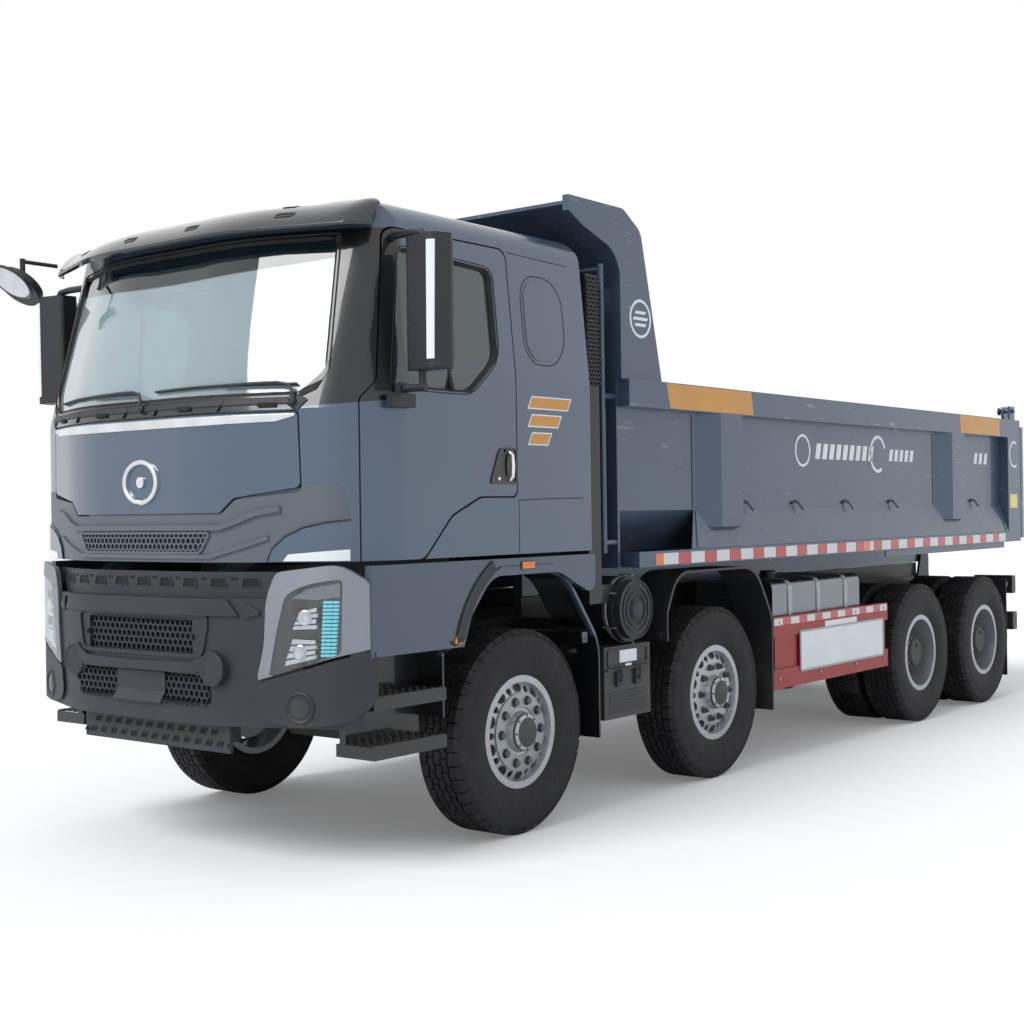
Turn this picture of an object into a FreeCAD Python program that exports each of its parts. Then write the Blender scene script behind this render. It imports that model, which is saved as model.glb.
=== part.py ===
import FreeCAD, Part
import math
import os
import Sketcher
from FreeCAD import Placement, Rotation, Vector

# Four-axle tipper lorry with twin steering, as a parametric document.
# Millimetres. +Z is up, the front faces -Y and the left-hand side is +X. The origin lies on the ground under
# the middle of the outline. Every dimension is a cell of the sheet "dims"; each object follows its formulas.

DIMENSIONS = (
    # along the lorry
    ("front_overhang", 1580, "first axle to the foremost point of the bumper"),
    ("wheelbase_front", 2000, "first axle to second axle"),
    ("wheelbase_middle", 3050, "second axle to third axle"),
    ("wheelbase_rear", 1350, "third axle to fourth axle"),
    ("rear_overhang", 950, "fourth axle to the back of the tailgate"),
    ("half_width", 1250, "middle plane to the widest fixed side"),
    # wheels
    ("tyre_radius", 542, "outer radius"),
    ("tyre_half_width", 150, "half the section width"),
    ("tread_half_width", 128, "half the flat tread"),
    ("tyre_crown", 2, "drop from the tread's middle to its outer ribs"),
    ("tyre_crown_half", 38, "half width of the tread's flat middle"),
    ("tyre_shoulder", 24, "drop from the tread to the shoulder"),
    ("tyre_buttress", 52, "tread to the top of the sidewall"),
    ("tyre_belly", 132, "tread to the widest part of the sidewall"),
    ("rim_flange_radius", 298, "rim flange"),
    ("rim_seat_radius", 274, "bead seat"),
    ("rim_bore_radius", 262, "inside of the rim barrel"),
    ("rim_half_width", 125, "half the rim over its flanges"),
    ("rim_flange", 13, "thickness of a flange"),
    ("rim_fit", 0.4, "tyre to rim"),
    ("stud_circle_radius", 167.5, "pitch circle of the wheel studs"),
    ("stud_radius", 16, "wheel nut"),
    ("stud_length", 26, "nut above the disc"),
    ("stud_count", 10, "studs on a wheel"),
    ("hand_hole_radius", 19, "hand holes in a disc"),
    ("hand_hole_circle", 227, "pitch circle radius of the hand holes"),
    ("steer_stud_face", 118, "middle of a steered tyre to its wheel's stud face"),
    ("drive_stud_face", 147, "middle of an outer driven tyre back to the stud face"),
    ("disc", 14, "thickness of a wheel disc"),
    ("hub_radius", 95, "outer hub of a steered wheel"),
    ("drum_radius", 204, "brake drum"),
    ("drum_reach", 55, "middle of a steered wheel to the inner end of its drum"),
    ("planet_hub_radius", 130, "outer hub of a driven wheel"),
    ("planet_reach", 90, "middle of an outer driven tyre to the face of its hub"),
    ("steer_track", 1025, "middle plane to the middle of a steered tyre"),
    ("drive_track", 1100, "middle plane to the middle of an outer driven tyre"),
    ("twin_pitch", 330, "between the middles of a pair of twin tyres"),
    ("stub_radius", 45, "stub axle of a steered wheel"),
    ("tube_radius", 65, "axle tube in a driven hub"),
    ("bearing_fit", 0.5, "hub to its axle"),
    ("kingpin_track", 880, "middle plane to a kingpin"),
    ("kingpin_radius", 24, "kingpin"),
    ("kingpin_boss", 38, "radius of the axle's boss around a kingpin"),
    ("boss_half", 52, "half the height of the axle's boss around a kingpin"),
    ("lug", 42, "height of a knuckle's lug above or below the boss"),
    ("lug_gap", 1, "between a lug and the boss"),
    ("steer_arm", 160, "kingpin to the track rod's joint"),
    ("steer_arm_half", 20, "half the width of a steering arm"),
    ("steer_arm_thick", 24, "thickness of a steering arm"),
    ("rod_radius", 17, "track rod"),
    ("spring_half", 40, "half the width of a leaf pack"),
    ("spring_foot", 620, "ground to the underside of the leaf packs"),
    ("spring_thick", 70, "thickness of a leaf pack over its axle"),
    ("spring_camber", 60, "how far the ends of a leaf pack stand above its middle"),
    ("spring_reach", 560, "axle to the end of a leaf pack"),
    ("spring_seat", 90, "half the length of a spring seat"),
    ("leaf", 24, "thickness of a leaf pack at its ends"),
    ("shaft_radius", 42, "propeller shaft"),
    ("casing_radius", 205, "differential casing"),
    ("casing_half", 190, "half the width of a differential casing"),
    ("casing_nose", 330, "axle to the front of the differential's nose"),
    ("nose_radius", 110, "differential's nose"),
    ("gearbox_back", 540, "first axle to the back of the gearbox"),
    ("gearbox_out_up", 690, "ground to the gearbox's output"),
    ("engine_foot", 640, "ground to the engine's sump"),
    # frame
    ("rail_half_width", 425, "middle plane to the outside of a frame rail"),
    ("rail_flange", 80, "width of a rail's flange"),
    ("rail_height", 300, "height of a frame rail"),
    ("rail_wall", 12, "thickness of a rail"),
    ("rail_top", 1060, "ground to the top of the frame"),
    ("rail_front", 1250, "first axle to the front end of the frame"),
    ("rail_rear", 750, "fourth axle to the rear end of the frame"),
    ("cross_tube", 70, "half width of a crossmember"),
    ("tow_pitch_across", 160, "towing coupling's holes across"),
    ("tow_pitch_up", 100, "towing coupling's holes up"),
    ("tow_hole", 10.5, "radius of the towing coupling's holes"),
    ("subframe_top", 1180, "ground to the top of the tipping subframe"),
    ("subframe_half", 25, "half width of a subframe rail"),
    # cab
    ("cab_rear", 545, "first axle to the back of the cab"),
    ("cab_side", 1240, "middle plane to the side of the cab"),
    ("cab_nose", 20, "bumper's foremost point to the cab's front"),
    ("cab_floor", 1485, "ground to the underside of the cab"),
    ("cab_belt", 2200, "ground to the foot of the windscreen"),
    ("cab_roof", 3240, "ground to the crown of the roof"),
    ("cab_eaves", 3200, "ground to the roof's side edge"),
    ("cab_waist", 2400, "ground to where the sides lean in"),
    ("cab_roof_half", 1165, "half width of the roof"),
    ("cab_wall", 50, "thickness of the cab's walls and doors"),
    ("screen_lean", 290, "how far the front leans back from belt to crown"),
    ("nose_half", 500, "half width of the flat nose"),
    ("cheek_half", 1130, "half width at the cheek"),
    ("cheek_depth", 250, "cab front to the cheek"),
    ("shoulder_depth", 540, "cab front to the straight side"),
    ("shut_gap", 8, "gap around doors and lids"),
    ("glass", 6, "thickness of glass"),
    ("glass_fit", 0.3, "glass to its frame"),
    ("glass_inset", 12, "glass behind the outer skin"),
    ("door_front", 1205, "first axle to the foot of the door's front edge"),
    ("door_rear", 120, "first axle to the door's rear edge"),
    ("door_top", 3065, "ground to the top of the door"),
    ("door_step_top", 1785, "ground to the raised rear foot of the door"),
    ("sill_window", 2300, "ground to the foot of the side window"),
    ("head_window", 2980, "ground to the top of the side window"),
    ("screen_foot", 2265, "ground to the foot of the windscreen opening"),
    ("screen_head", 3030, "ground to the top of the windscreen opening"),
    ("screen_half", 1045, "half width of the windscreen opening"),
    ("lid_top", 2185, "ground to the top of the front lid"),
    ("lid_foot", 1720, "ground to the foot of the front lid"),
    ("lid_half", 940, "half width of the front lid"),
    ("lid_skin", 22, "thickness of the front lid"),
    ("lid_recess", 34, "depth of the recess behind the lid"),
    ("mask_skin", 30, "thickness of the dark mask"),
    ("mask_half", 1150, "half width of the mask over its wings"),
    ("cab_pivot_back", 105, "bumper's foremost point to the cab's pivot"),
    ("cab_pivot_up", 1400, "ground to the cab's pivot"),
    ("cab_pin", 16, "radius of the cab's pivot pins"),
    ("cab_arm", 35, "thickness of the cab's pivot arms"),
    ("cab_eye", 28, "radius of the eye of a pivot arm"),
    ("cab_arm_reach", 300, "pivot to the rear end of a pivot arm"),
    ("dash_end_gap", 165, "cab side to the end of the dashboard"),
    ("sill_gap", 16, "door's inner face to the edge of the cab's floor"),
    ("rest_gap", 0.3, "between pieces that rest on each other"),
    ("column_radius", 34, "steering column"),
    ("cushion_thick", 130, "thickness of a seat's cushion"),
    ("seat_back", 720, "height of a seat's back above its cushion"),
    ("seat_up", 480, "cab's underside to the top of a cushion"),
    ("seat_gap", 270, "engine tunnel to a seat's middle"),
    ("seat_ahead", 130, "first axle to a seat's middle"),
    ("wheel_ahead", 470, "seat's middle to the steering wheel"),
    ("wheel_above", 170, "top of a cushion to the steering wheel"),
    ("wheel_radius", 235, "steering wheel"),
    ("round_mirror_radius", 125, "round front mirror"),
    ("mirror_dish", 45, "depth of the round front mirror"),
    ("mirror_arm", 11, "radius of the arm of the round front mirror"),
    ("mirror_tube", 18, "radius of the door mirror's arms"),
    ("visor_proud", 40, "sun visor's face ahead of the cab's plan behind it"),
    ("visor_wall", 30, "thickness of the sun visor"),
    ("tunnel_half", 400, "half width of the engine tunnel"),
    ("tunnel_top", 1860, "ground to the top of the engine tunnel"),
    # front end on the frame
    ("bumper_foot", 715, "ground to the foot of the bumper"),
    ("bumper_top", 1315, "ground to the top of the bumper"),
    ("bumper_wall", 60, "thickness of the bumper"),
    ("bumper_rear", 1222, "first axle to the rear end of the bumper's side"),
    ("lamp_half", 935, "middle plane to the inner edge of a headlight"),
    ("lamp_foot", 1010, "ground to the foot of a headlight"),
    ("lamp_top", 1440, "ground to the top of a headlight"),
    ("fender_foot", 1040, "ground to the foot of the panel ahead of the wheel"),
    ("fender_top", 1465, "ground to the top of the front fender"),
    ("fender_wall", 14, "thickness of a fender or mudguard"),
    ("step_low", 560, "ground to the underside of the lower step"),
    ("step_rise", 230, "one step to the next"),
    ("step_thick", 60, "thickness of a step"),
    ("guard_inner", 950, "middle plane to the inner edge of a mudguard"),
    ("guard_reach", 640, "axle to the mudguard at hub height"),
    ("liner_foot", 430, "ground to the foot of the liner behind a front wheel"),
    ("mudguard_foot", 360, "ground to the foot of a mudguard"),
    ("flap_foot", 180, "ground to the foot of a mud flap"),
    # side equipment
    ("side_plane", 1215, "middle plane to the outside of the chassis equipment"),
    ("cleaner_up", 1130, "ground to the middle of the air cleaner"),
    ("cleaner_radius", 190, "air cleaner's canister"),
    ("cleaner_inner", 800, "middle plane to the inner end of the air cleaner"),
    ("stack_top", 3030, "ground to the top of the intake stack"),
    ("box_inner", 700, "middle plane to the inner side of the battery box"),
    ("box_foot", 520, "ground to the underside of the battery box"),
    ("box_top", 930, "ground to the top of the battery box"),
    ("tank_inner", 560, "middle plane to the inner side of the fuel tank"),
    ("tank_foot", 620, "ground to the underside of the fuel tank"),
    ("tank_top", 1210, "ground to the top of the fuel tank"),
    ("silencer_inner", 620, "middle plane to the inner side of the silencer"),
    ("silencer_foot", 560, "ground to the underside of the silencer"),
    ("silencer_top", 1150, "ground to the top of the silencer"),
    ("side_guard_foot", 490, "ground to the foot of the side guards' lower board"),
    ("side_guard_rise", 350, "foot of the lower board to the foot of the upper one"),
    ("side_guard_board", 130, "height of a side guard's board"),
    ("underrun_foot", 570, "ground to the foot of the rear underrun bar"),
    ("underrun_height", 160, "height of the rear underrun bar"),
    ("tail_lamp_foot", 900, "ground to the foot of a tail lamp"),
    ("tail_lamp_half", 860, "middle plane to the inner end of a tail lamp"),
    # bed
    ("bed_front", 905, "first axle to the front of the bed"),
    ("bed_wall_inset", 80, "widest fixed side to the outside of the bed wall"),
    ("bed_wall", 12, "thickness of the bed's wall and floor"),
    ("bulkhead", 20, "thickness of the bulkhead and canopy"),
    ("ladder_tube", 17, "radius of the ladder's tubes"),
    ("bed_rail_top", 2460, "ground to the top of the bed's rail"),
    ("bed_rail_foot", 2300, "ground to the underside of the bed's top rail"),
    ("bed_fold", 1700, "ground to the fold in the bed wall"),
    ("bed_floor_half", 985, "half width of the flat floor"),
    ("bed_floor_foot", 1460, "ground to the underside of the floor"),
    ("bed_under_rail", 1370, "ground to the underside of the lower side rail"),
    ("bed_sill_foot", 1186, "ground to the underside of the bed's sills"),
    ("bed_rear_gap", 80, "back of the tailgate to the rear end of the bed"),
    ("rail_depth", 100, "width of the bed's top rail"),
    ("canopy_top", 3440, "ground to the top of the canopy"),
    ("canopy_front", 410, "first axle to the front lip of the canopy"),
    ("canopy_side", 40, "thickness of a canopy side"),
    ("tip_hinge_back", 600, "fourth axle to the tipping hinge"),
    ("tip_hinge_up", 1240, "ground to the tipping hinge"),
    ("hinge_plate", 22, "thickness of the plates that carry the tipping pin"),
    ("tip_pin", 35, "radius of the tipping pin"),
    ("pin_fit", 0.5, "pin to its bore"),
    ("gate_foot", 1400, "ground to the foot of the tailgate"),
    ("gate_top", 2400, "ground to the top of the tailgate"),
    ("gate_depth", 65, "thickness of the tailgate over its ribs"),
    ("gate_pin_up", 2545, "ground to the tailgate's pins"),
    ("gate_pin_forward", 150, "back of the tailgate to its pins"),
    ("gate_pin", 18, "radius of a tailgate pin"),
    # tipping ram
    ("ram_foot_up", 900, "ground to the ram's foot pin"),
    ("ram_eye_up", 1620, "ground to the ram's upper trunnion"),
    ("ram_station", 675, "first axle to the ram's upper trunnion"),
    ("ram_cover_radius", 96, "outer tube"),
    ("ram_cover_top", 2640, "ground to the top of the outer tube"),
    ("ram_foot_half", 50, "half the width of the ram's foot"),
    ("ram_pin", 28, "radius of the ram's foot pin"),
    ("ram_trunnion", 45, "radius of the ram's upper trunnion"),
    ("ram_step", 17, "radius lost from one stage to the next"),
    ("ram_bore_gap", 0.5, "between a stage and the next"),
    ("visor_back", 130, "cab front to the front of the sun visor"),
)


class Size:
    """A number together with the sheet formula that it follows."""

    def __init__(self, formula, value):
        self.formula = formula
        self.value = value

    @staticmethod
    def of(number):
        return number if isinstance(number, Size) else Size(f"{float(number):.9g}", float(number))

    def __add__(self, other):
        other = Size.of(other)
        return Size(f"({self.formula} + {other.formula})", self.value + other.value)

    def __sub__(self, other):
        other = Size.of(other)
        return Size(f"({self.formula} - {other.formula})", self.value - other.value)

    def __mul__(self, other):
        other = Size.of(other)
        return Size(f"({self.formula} * {other.formula})", self.value * other.value)

    def __truediv__(self, other):
        other = Size.of(other)
        return Size(f"({self.formula} / {other.formula})", self.value / other.value)

    def __neg__(self):
        return Size(f"(0 - {self.formula})", -self.value)

    def __radd__(self, other):
        return Size.of(other) + self

    def __rsub__(self, other):
        return Size.of(other) - self

    def __rmul__(self, other):
        return Size.of(other) * self


ZERO = Size.of(0)
ACROSS = Vector(1, 0, 0)
ALONG = Vector(0, 1, 0)
UP = Vector(0, 0, 1)
AXES = {"X": ACROSS, "Y": ALONG, "Z": UP}
# A sketch lies across each axis: its own x and y are the other two axes in the order Y-Z, X-Z or X-Y.
SKETCH_TURN = {"X": Rotation(Vector(1, 1, 1), 120), "Y": Rotation(ACROSS, 90), "Z": Rotation()}
ROD_TURN = {"X": Rotation(ALONG, 90), "Y": Rotation(ACROSS, -90), "Z": Rotation()}
OTHER_AXES = {"X": "yz", "Y": "xz", "Z": "xy"}

document = FreeCAD.newDocument("Tipper")
sheet = document.addObject("Spreadsheet::Sheet", "dims")
for row, (alias, number, meaning) in enumerate(DIMENSIONS, 1):
    sheet.set(f"A{row}", meaning)
    sheet.set(f"B{row}", str(number))
    sheet.setAlias(f"B{row}", alias)
document.recompute()


class Dims:
    """The sheet's cells by their aliases."""

    def __getattr__(self, alias):
        return Size(f"dims.{alias}", float(getattr(sheet, alias)))


D = Dims()
SUBPARTS = []


# ---------------------------------------------------------------- building blocks

def label(feature, name):
    """Gives a finished sub-part the name of its node."""
    feature.Label = name
    SUBPARTS.append(feature)
    return feature


def block(x, y, z):
    """A box between two planes on each axis."""
    box = document.addObject("Part::Box", "Block")
    for size, (low, high) in zip(("Length", "Width", "Height"), (x, y, z)):
        box.setExpression(size, (Size.of(high) - low).formula)
    for axis, (low, high) in zip("xyz", (x, y, z)):
        box.setExpression(f"Placement.Base.{axis}", Size.of(low).formula)
    return box


def rod(axis, centre, span, radius):
    """A cylinder along an axis; centre gives the other two coordinates in alphabetical order."""
    cylinder = document.addObject("Part::Cylinder", "Rod")
    cylinder.Placement = Placement(Vector(), ROD_TURN[axis])
    cylinder.setExpression("Radius", Size.of(radius).formula)
    cylinder.setExpression("Height", (Size.of(span[1]) - span[0]).formula)
    cylinder.setExpression(f"Placement.Base.{axis.lower()}", Size.of(span[0]).formula)
    for name, place in zip(OTHER_AXES[axis], centre):
        cylinder.setExpression(f"Placement.Base.{name}", Size.of(place).formula)
    return cylinder


def pin_point(sketch, element, end, place):
    """Ties one end of a sketch element to its two formulas."""
    for kind, size in (("DistanceX", place[0]), ("DistanceY", place[1])):
        size = Size.of(size)
        index = sketch.addConstraint(Sketcher.Constraint(kind, -1, 1, element, end, size.value))
        sketch.setExpression(f"Constraints[{index}]", size.formula)


def corner_arc(before, corner, after, radius):
    """The arc that rounds a corner, and whether it runs from the edge before it to the edge after."""
    back = (before - corner).normalize()
    ahead = (after - corner).normalize()
    half_angle = back.getAngle(ahead) / 2
    run = radius / math.tan(half_angle)
    centre = corner + (back + ahead).normalize() * (radius / math.sin(half_angle))
    ends = [corner + back * run, corner + ahead * run]
    forward = (corner - before).cross(after - corner).z > 0
    in_turn = ends if forward else ends[::-1]
    start, stop = [math.atan2(end.y - centre.y, end.x - centre.x) for end in in_turn]
    if stop < start:
        stop += 2 * math.pi
    return Part.ArcOfCircle(Part.Circle(centre, UP, radius), start, stop), ends, forward


def outline(sketch, points):
    """Draws a closed outline; a third number at a point rounds that corner with this radius."""
    count = len(points)
    corners = [Vector(Size.of(point[0]).value, Size.of(point[1]).value, 0) for point in points]
    radii = [Size.of(point[2]) if len(point) > 2 else ZERO for point in points]
    rounded = {
        index: corner_arc(
            corners[index - 1], corners[index], corners[(index + 1) % count], radii[index].value
        )
        for index in range(count)
        if radii[index].value
    }
    arrive = [rounded[index][1][0] if index in rounded else corners[index] for index in range(count)]
    leave = [rounded[index][1][1] if index in rounded else corners[index] for index in range(count)]
    edges = [
        sketch.addGeometry(Part.LineSegment(leave[index], arrive[(index + 1) % count]), False)
        for index in range(count)
    ]
    frames = {}
    for index in range(count):
        following = (index + 1) % count
        if index in rounded or following in rounded:
            frames[index] = sketch.addGeometry(Part.LineSegment(corners[index], corners[following]), True)
            pin_point(sketch, frames[index], 1, points[index])
            pin_point(sketch, frames[index], 2, points[following])
    for index in range(count):
        before, after = edges[index - 1], edges[index]
        if index not in rounded:
            pin_point(sketch, after, 1, points[index])
            sketch.addConstraint(Sketcher.Constraint("Coincident", before, 2, after, 1))
            continue
        curve, ends, forward = rounded[index]
        sketch.addConstraint(Sketcher.Constraint("PointOnObject", before, 2, frames[(index - 1) % count]))
        sketch.addConstraint(Sketcher.Constraint("PointOnObject", after, 1, frames[index]))
        arc = sketch.addGeometry(curve, False)
        first = 1 if forward else 2
        sketch.addConstraint(Sketcher.Constraint("Tangent", before, 2, arc, first))
        sketch.addConstraint(Sketcher.Constraint("Tangent", arc, 3 - first, after, 1))
        bound = sketch.addConstraint(Sketcher.Constraint("Radius", arc, radii[index].value))
        sketch.setExpression(f"Constraints[{bound}]", radii[index].formula)


def prism(axis, points, span, slant=ZERO):
    """An outline drawn across an axis and drawn out along it; slant moves the far end backwards."""
    sketch = document.addObject("Sketcher::SketchObject", "Outline")
    sketch.Placement = Placement(Vector(), SKETCH_TURN[axis])
    outline(sketch, points)
    sketch.setExpression(f"Placement.Base.{axis.lower()}", Size.of(span[0]).formula)
    length = Size.of(span[1]) - span[0]
    direction = AXES[axis] * length.value + ALONG * Size.of(slant).value
    extrusion = document.addObject("Part::Extrusion", "Prism")
    extrusion.Base = sketch
    extrusion.DirMode = "Custom"
    extrusion.Dir = direction
    extrusion.LengthFwd = direction.Length
    if Size.of(slant).value == 0:
        extrusion.setExpression("LengthFwd", length.formula)
    extrusion.Solid = True
    return extrusion


def mirrored_points(half):
    """The right-hand points of a symmetric outline, then the same points mirrored."""
    return list(half) + [(-Size.of(point[0]),) + tuple(point[1:]) for point in reversed(half)]


def fuse(*pieces):
    union = document.addObject("Part::MultiFuse", "Fuse")
    union.Shapes = list(pieces)
    union.Refine = True
    return union


def common(*pieces):
    shared = document.addObject("Part::MultiCommon", "Common")
    shared.Shapes = list(pieces)
    shared.Refine = True
    return shared


def cut(base, *tools):
    for tool in tools:
        difference = document.addObject("Part::Cut", "Cut")
        difference.Base = base
        difference.Tool = tool
        difference.Refine = True
        base = difference
    return base


def group(*pieces):
    """Several solids of one node that don't touch."""
    compound = document.addObject("Part::Compound", "Group")
    compound.Links = list(pieces)
    return compound


def mirror(piece):
    """The same piece on the other side of the middle plane."""
    copy = document.addObject("Part::Mirroring", "Mirror")
    copy.Source = piece
    copy.Normal = ACROSS
    return copy


def both_sides(piece):
    return group(piece, mirror(piece))


# ---------------------------------------------------------------- stations

LENGTH = D.front_overhang + D.wheelbase_front + D.wheelbase_middle + D.wheelbase_rear + D.rear_overhang
FRONT = -LENGTH / 2
REAR = LENGTH / 2
AXLE_1 = FRONT + D.front_overhang
AXLE_2 = AXLE_1 + D.wheelbase_front
AXLE_3 = AXLE_2 + D.wheelbase_middle
AXLE_4 = AXLE_3 + D.wheelbase_rear
HUB = D.tyre_radius
CAB_FRONT = FRONT + D.cab_nose
CAB_REAR = AXLE_1 + D.cab_rear
BED_FRONT = AXLE_1 + D.bed_front
BED_REAR = REAR - D.bed_rear_gap
BED_WALL_HALF = D.half_width - D.bed_wall_inset
GEARBOX_REAR = AXLE_1 + D.gearbox_back
TIP_Y = AXLE_4 + D.tip_hinge_back
GATE_Y = REAR - D.gate_pin_forward
CAB_PIVOT_Y = FRONT + D.cab_pivot_back
CAB_ARM_SPAN = (D.rail_half_width + 5, D.rail_half_width + 5 + D.cab_arm)
RAM_Y = AXLE_1 + D.ram_station


# ---------------------------------------------------------------- wheels

def body_sketch(body, role, name):
    """A sketch on one of a body's own origin planes."""
    sketch = body.newObject("Sketcher::SketchObject", name)
    plane = next(item for item in body.Origin.OriginFeatures if item.Role == role)
    sketch.AttachmentSupport = (plane, "")
    sketch.MapMode = "FlatFace"
    return sketch


def turned(body, name, points):
    """A revolution about the body's X axis of an outline of distances along it and radii."""
    sketch = body_sketch(body, "XY_Plane", name + "Outline")
    outline(sketch, points)
    feature = body.newObject("PartDesign::Revolution", name)
    feature.Profile = sketch
    feature.ReferenceAxis = (sketch, ["H_Axis"])
    feature.Angle = 360
    return feature


def circle(sketch, across_sketch, radius):
    """A circle on the sketch's own x axis."""
    ring = sketch.addGeometry(Part.Circle(Vector(across_sketch.value, 0, 0), UP, radius.value), False)
    reach = sketch.addConstraint(Sketcher.Constraint("DistanceX", -1, 1, ring, 3, across_sketch.value))
    sketch.setExpression(f"Constraints[{reach}]", across_sketch.formula)
    sketch.addConstraint(Sketcher.Constraint("PointOnObject", ring, 3, -1))
    bound = sketch.addConstraint(Sketcher.Constraint("Radius", ring, radius.value))
    sketch.setExpression(f"Constraints[{bound}]", radius.formula)


def around_axle(body, feature, name):
    """Repeats a feature around the wheel's axis."""
    pattern = body.newObject("PartDesign::PolarPattern", name)
    axis = next(item for item in body.Origin.OriginFeatures if item.Role == "X_Axis")
    pattern.Originals = [feature]
    pattern.Axis = (axis, [""])
    pattern.Angle = 360
    pattern.setExpression("Occurrences", D.stud_count.formula)
    body.Tip = pattern
    return pattern


def wheel_disc(body, points, stud_face):
    """A turned wheel with hand holes through its disc and a ring of nuts on its stud face."""
    turned(body, "Wheel", points)
    holes = body_sketch(body, "YZ_Plane", "HandHole")
    circle(holes, D.hand_hole_circle, D.hand_hole_radius)
    pocket = body.newObject("PartDesign::Pocket", "HandHoleCut")
    pocket.Profile = holes
    pocket.Type = "ThroughAll"
    pocket.Midplane = True
    around_axle(body, pocket, "HandHoles")
    nut = body_sketch(body, "YZ_Plane", "Nut")
    circle(nut, D.stud_circle_radius, D.stud_radius)
    nut.setExpression("AttachmentOffset.Base.z", stud_face.formula)
    pad = body.newObject("PartDesign::Pad", "NutPad")
    pad.Profile = nut
    pad.setExpression("Length", D.stud_length.formula)
    around_axle(body, pad, "Nuts")


def rim_edge(middle, side):
    """One flange of a rim, from the bead seat to the inside of the barrel."""
    half = middle + D.rim_half_width * side
    return [
        (half - (D.rim_flange * 2) * side, D.rim_seat_radius),
        (half - D.rim_flange * side, D.rim_flange_radius),
        (half, D.rim_flange_radius),
        (half, D.rim_bore_radius),
    ]


def steered_rim(body):
    """Single rim, its disc bulging outwards, with hub, cap and brake drum."""
    face = D.steer_stud_face
    bore = D.stub_radius + D.bearing_fit
    points = rim_edge(ZERO, 1) + [
        (face - 26, D.rim_bore_radius - 12),
        (face, D.stud_circle_radius + 24),
        (face, D.hub_radius + 15),
        (face + 44, D.hub_radius),
        (face + 56, D.hub_radius - 30),
        (face + 56, ZERO),
        (face - 20, ZERO),
        (face - 20, bore),
        (-D.drum_reach, bore),
        (-D.drum_reach, D.drum_radius),
        (D.drum_reach - 10, D.drum_radius),
        (D.drum_reach + 5, D.drum_radius - 54),
        (face - D.disc, D.drum_radius - 54),
        (face - D.disc, D.stud_circle_radius + 18),
        (face - 44, D.rim_bore_radius - 8),
        (-D.rim_half_width, D.rim_bore_radius),
    ] + list(reversed(rim_edge(ZERO, -1)))[1:]
    wheel_disc(body, points, face)


def twin_rim(body):
    """Two rims disc to disc, with the hub, drum and planetary cap of a driven axle."""
    inner = -D.twin_pitch
    face = -D.drive_stud_face
    joint = -D.twin_pitch / 2
    bore = D.tube_radius + D.bearing_fit
    points = (
        [(D.rim_half_width, D.rim_bore_radius)]
        + list(reversed(rim_edge(ZERO, 1)[:3]))
        + rim_edge(ZERO, -1)[:3]
        + [
            (-D.rim_half_width, D.rim_bore_radius + 6),
            (joint + 12, D.stud_circle_radius + 66),
            (joint, D.stud_circle_radius + 47),
            (joint - 12, D.stud_circle_radius + 66),
            (inner + D.rim_half_width, D.rim_bore_radius + 6),
        ]
        + list(reversed(rim_edge(inner, 1)[:3]))
        + rim_edge(inner, -1)[:3]
        + [
            (inner - D.rim_half_width, D.rim_bore_radius),
            (inner + D.rim_half_width - 20, D.rim_bore_radius),
            (joint - 30, D.stud_circle_radius + 56),
            (joint - 18, D.drum_radius),
            (inner - 70, D.drum_radius),
            (inner - 70, bore),
            (ZERO, bore),
            (ZERO, ZERO),
            (D.planet_reach, ZERO),
            (D.planet_reach, D.planet_hub_radius - 55),
            (D.planet_reach - 30, D.planet_hub_radius - 10),
            (face, D.planet_hub_radius),
            (face, D.drum_radius),
            (-D.rim_half_width + 8, D.rim_bore_radius - 18),
            (-D.rim_half_width + 26, D.rim_bore_radius),
        ]
    )
    wheel_disc(body, points, face)


def tyre(body, name, middle):
    """A tyre around its rim, seated on the bead seats."""
    seat = D.rim_seat_radius + D.rim_fit
    lip = D.rim_half_width - D.rim_flange * 2 - D.rim_fit
    flange = D.rim_half_width - D.rim_flange - D.rim_fit
    over = D.rim_flange_radius + D.rim_fit
    half = [
        (lip, seat),
        (flange, over),
        (D.rim_half_width + 3, over),
        (D.tyre_half_width, D.tyre_radius - D.tyre_belly, 60),
        (D.tyre_half_width - 8, D.tyre_radius - D.tyre_buttress, 40),
        (D.tread_half_width, D.tyre_radius - D.tyre_shoulder),
        (D.tread_half_width - 30, D.tyre_radius - D.tyre_crown),
        (D.tyre_crown_half, D.tyre_radius),
    ]
    points = [(middle + point[0],) + point[1:] for point in half]
    points += [(middle - point[0],) + point[1:] for point in reversed(half)]
    turned(body, name, points)


def wheel_body(side, track, station):
    """A body at a wheel's centre, its +X pointing away from the lorry."""
    body = document.addObject("PartDesign::Body", "WheelBody")
    turn = Rotation() if side > 0 else Rotation(UP, 180)
    body.Placement = Placement(Vector(), turn)
    for axis, place in zip("xyz", (track * side, station, HUB)):
        body.setExpression(f"Placement.Base.{axis}", place.formula)
    return body


def steered_wheel(row, side_name, side, station):
    rim = label(wheel_body(side, D.steer_track, station), f"rim_{row}_{side_name}")
    steered_rim(rim)
    rubber = label(wheel_body(side, D.steer_track, station), f"tyre_{row}_{side_name}")
    tyre(rubber, "Tyre", ZERO)


def twin_wheel(row, side_name, side, station):
    rims = label(wheel_body(side, D.drive_track, station), f"rims_{row}_{side_name}")
    twin_rim(rims)
    pair = []
    for middle in (ZERO, -D.twin_pitch):
        rubber = wheel_body(side, D.drive_track, station)
        tyre(rubber, "Tyre", middle)
        pair.append(rubber)
    label(group(*pair), f"tyres_{row}_{side_name}")


SIDES = (("left", 1), ("right", -1))


# ---------------------------------------------------------------- steering and axles

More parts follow.
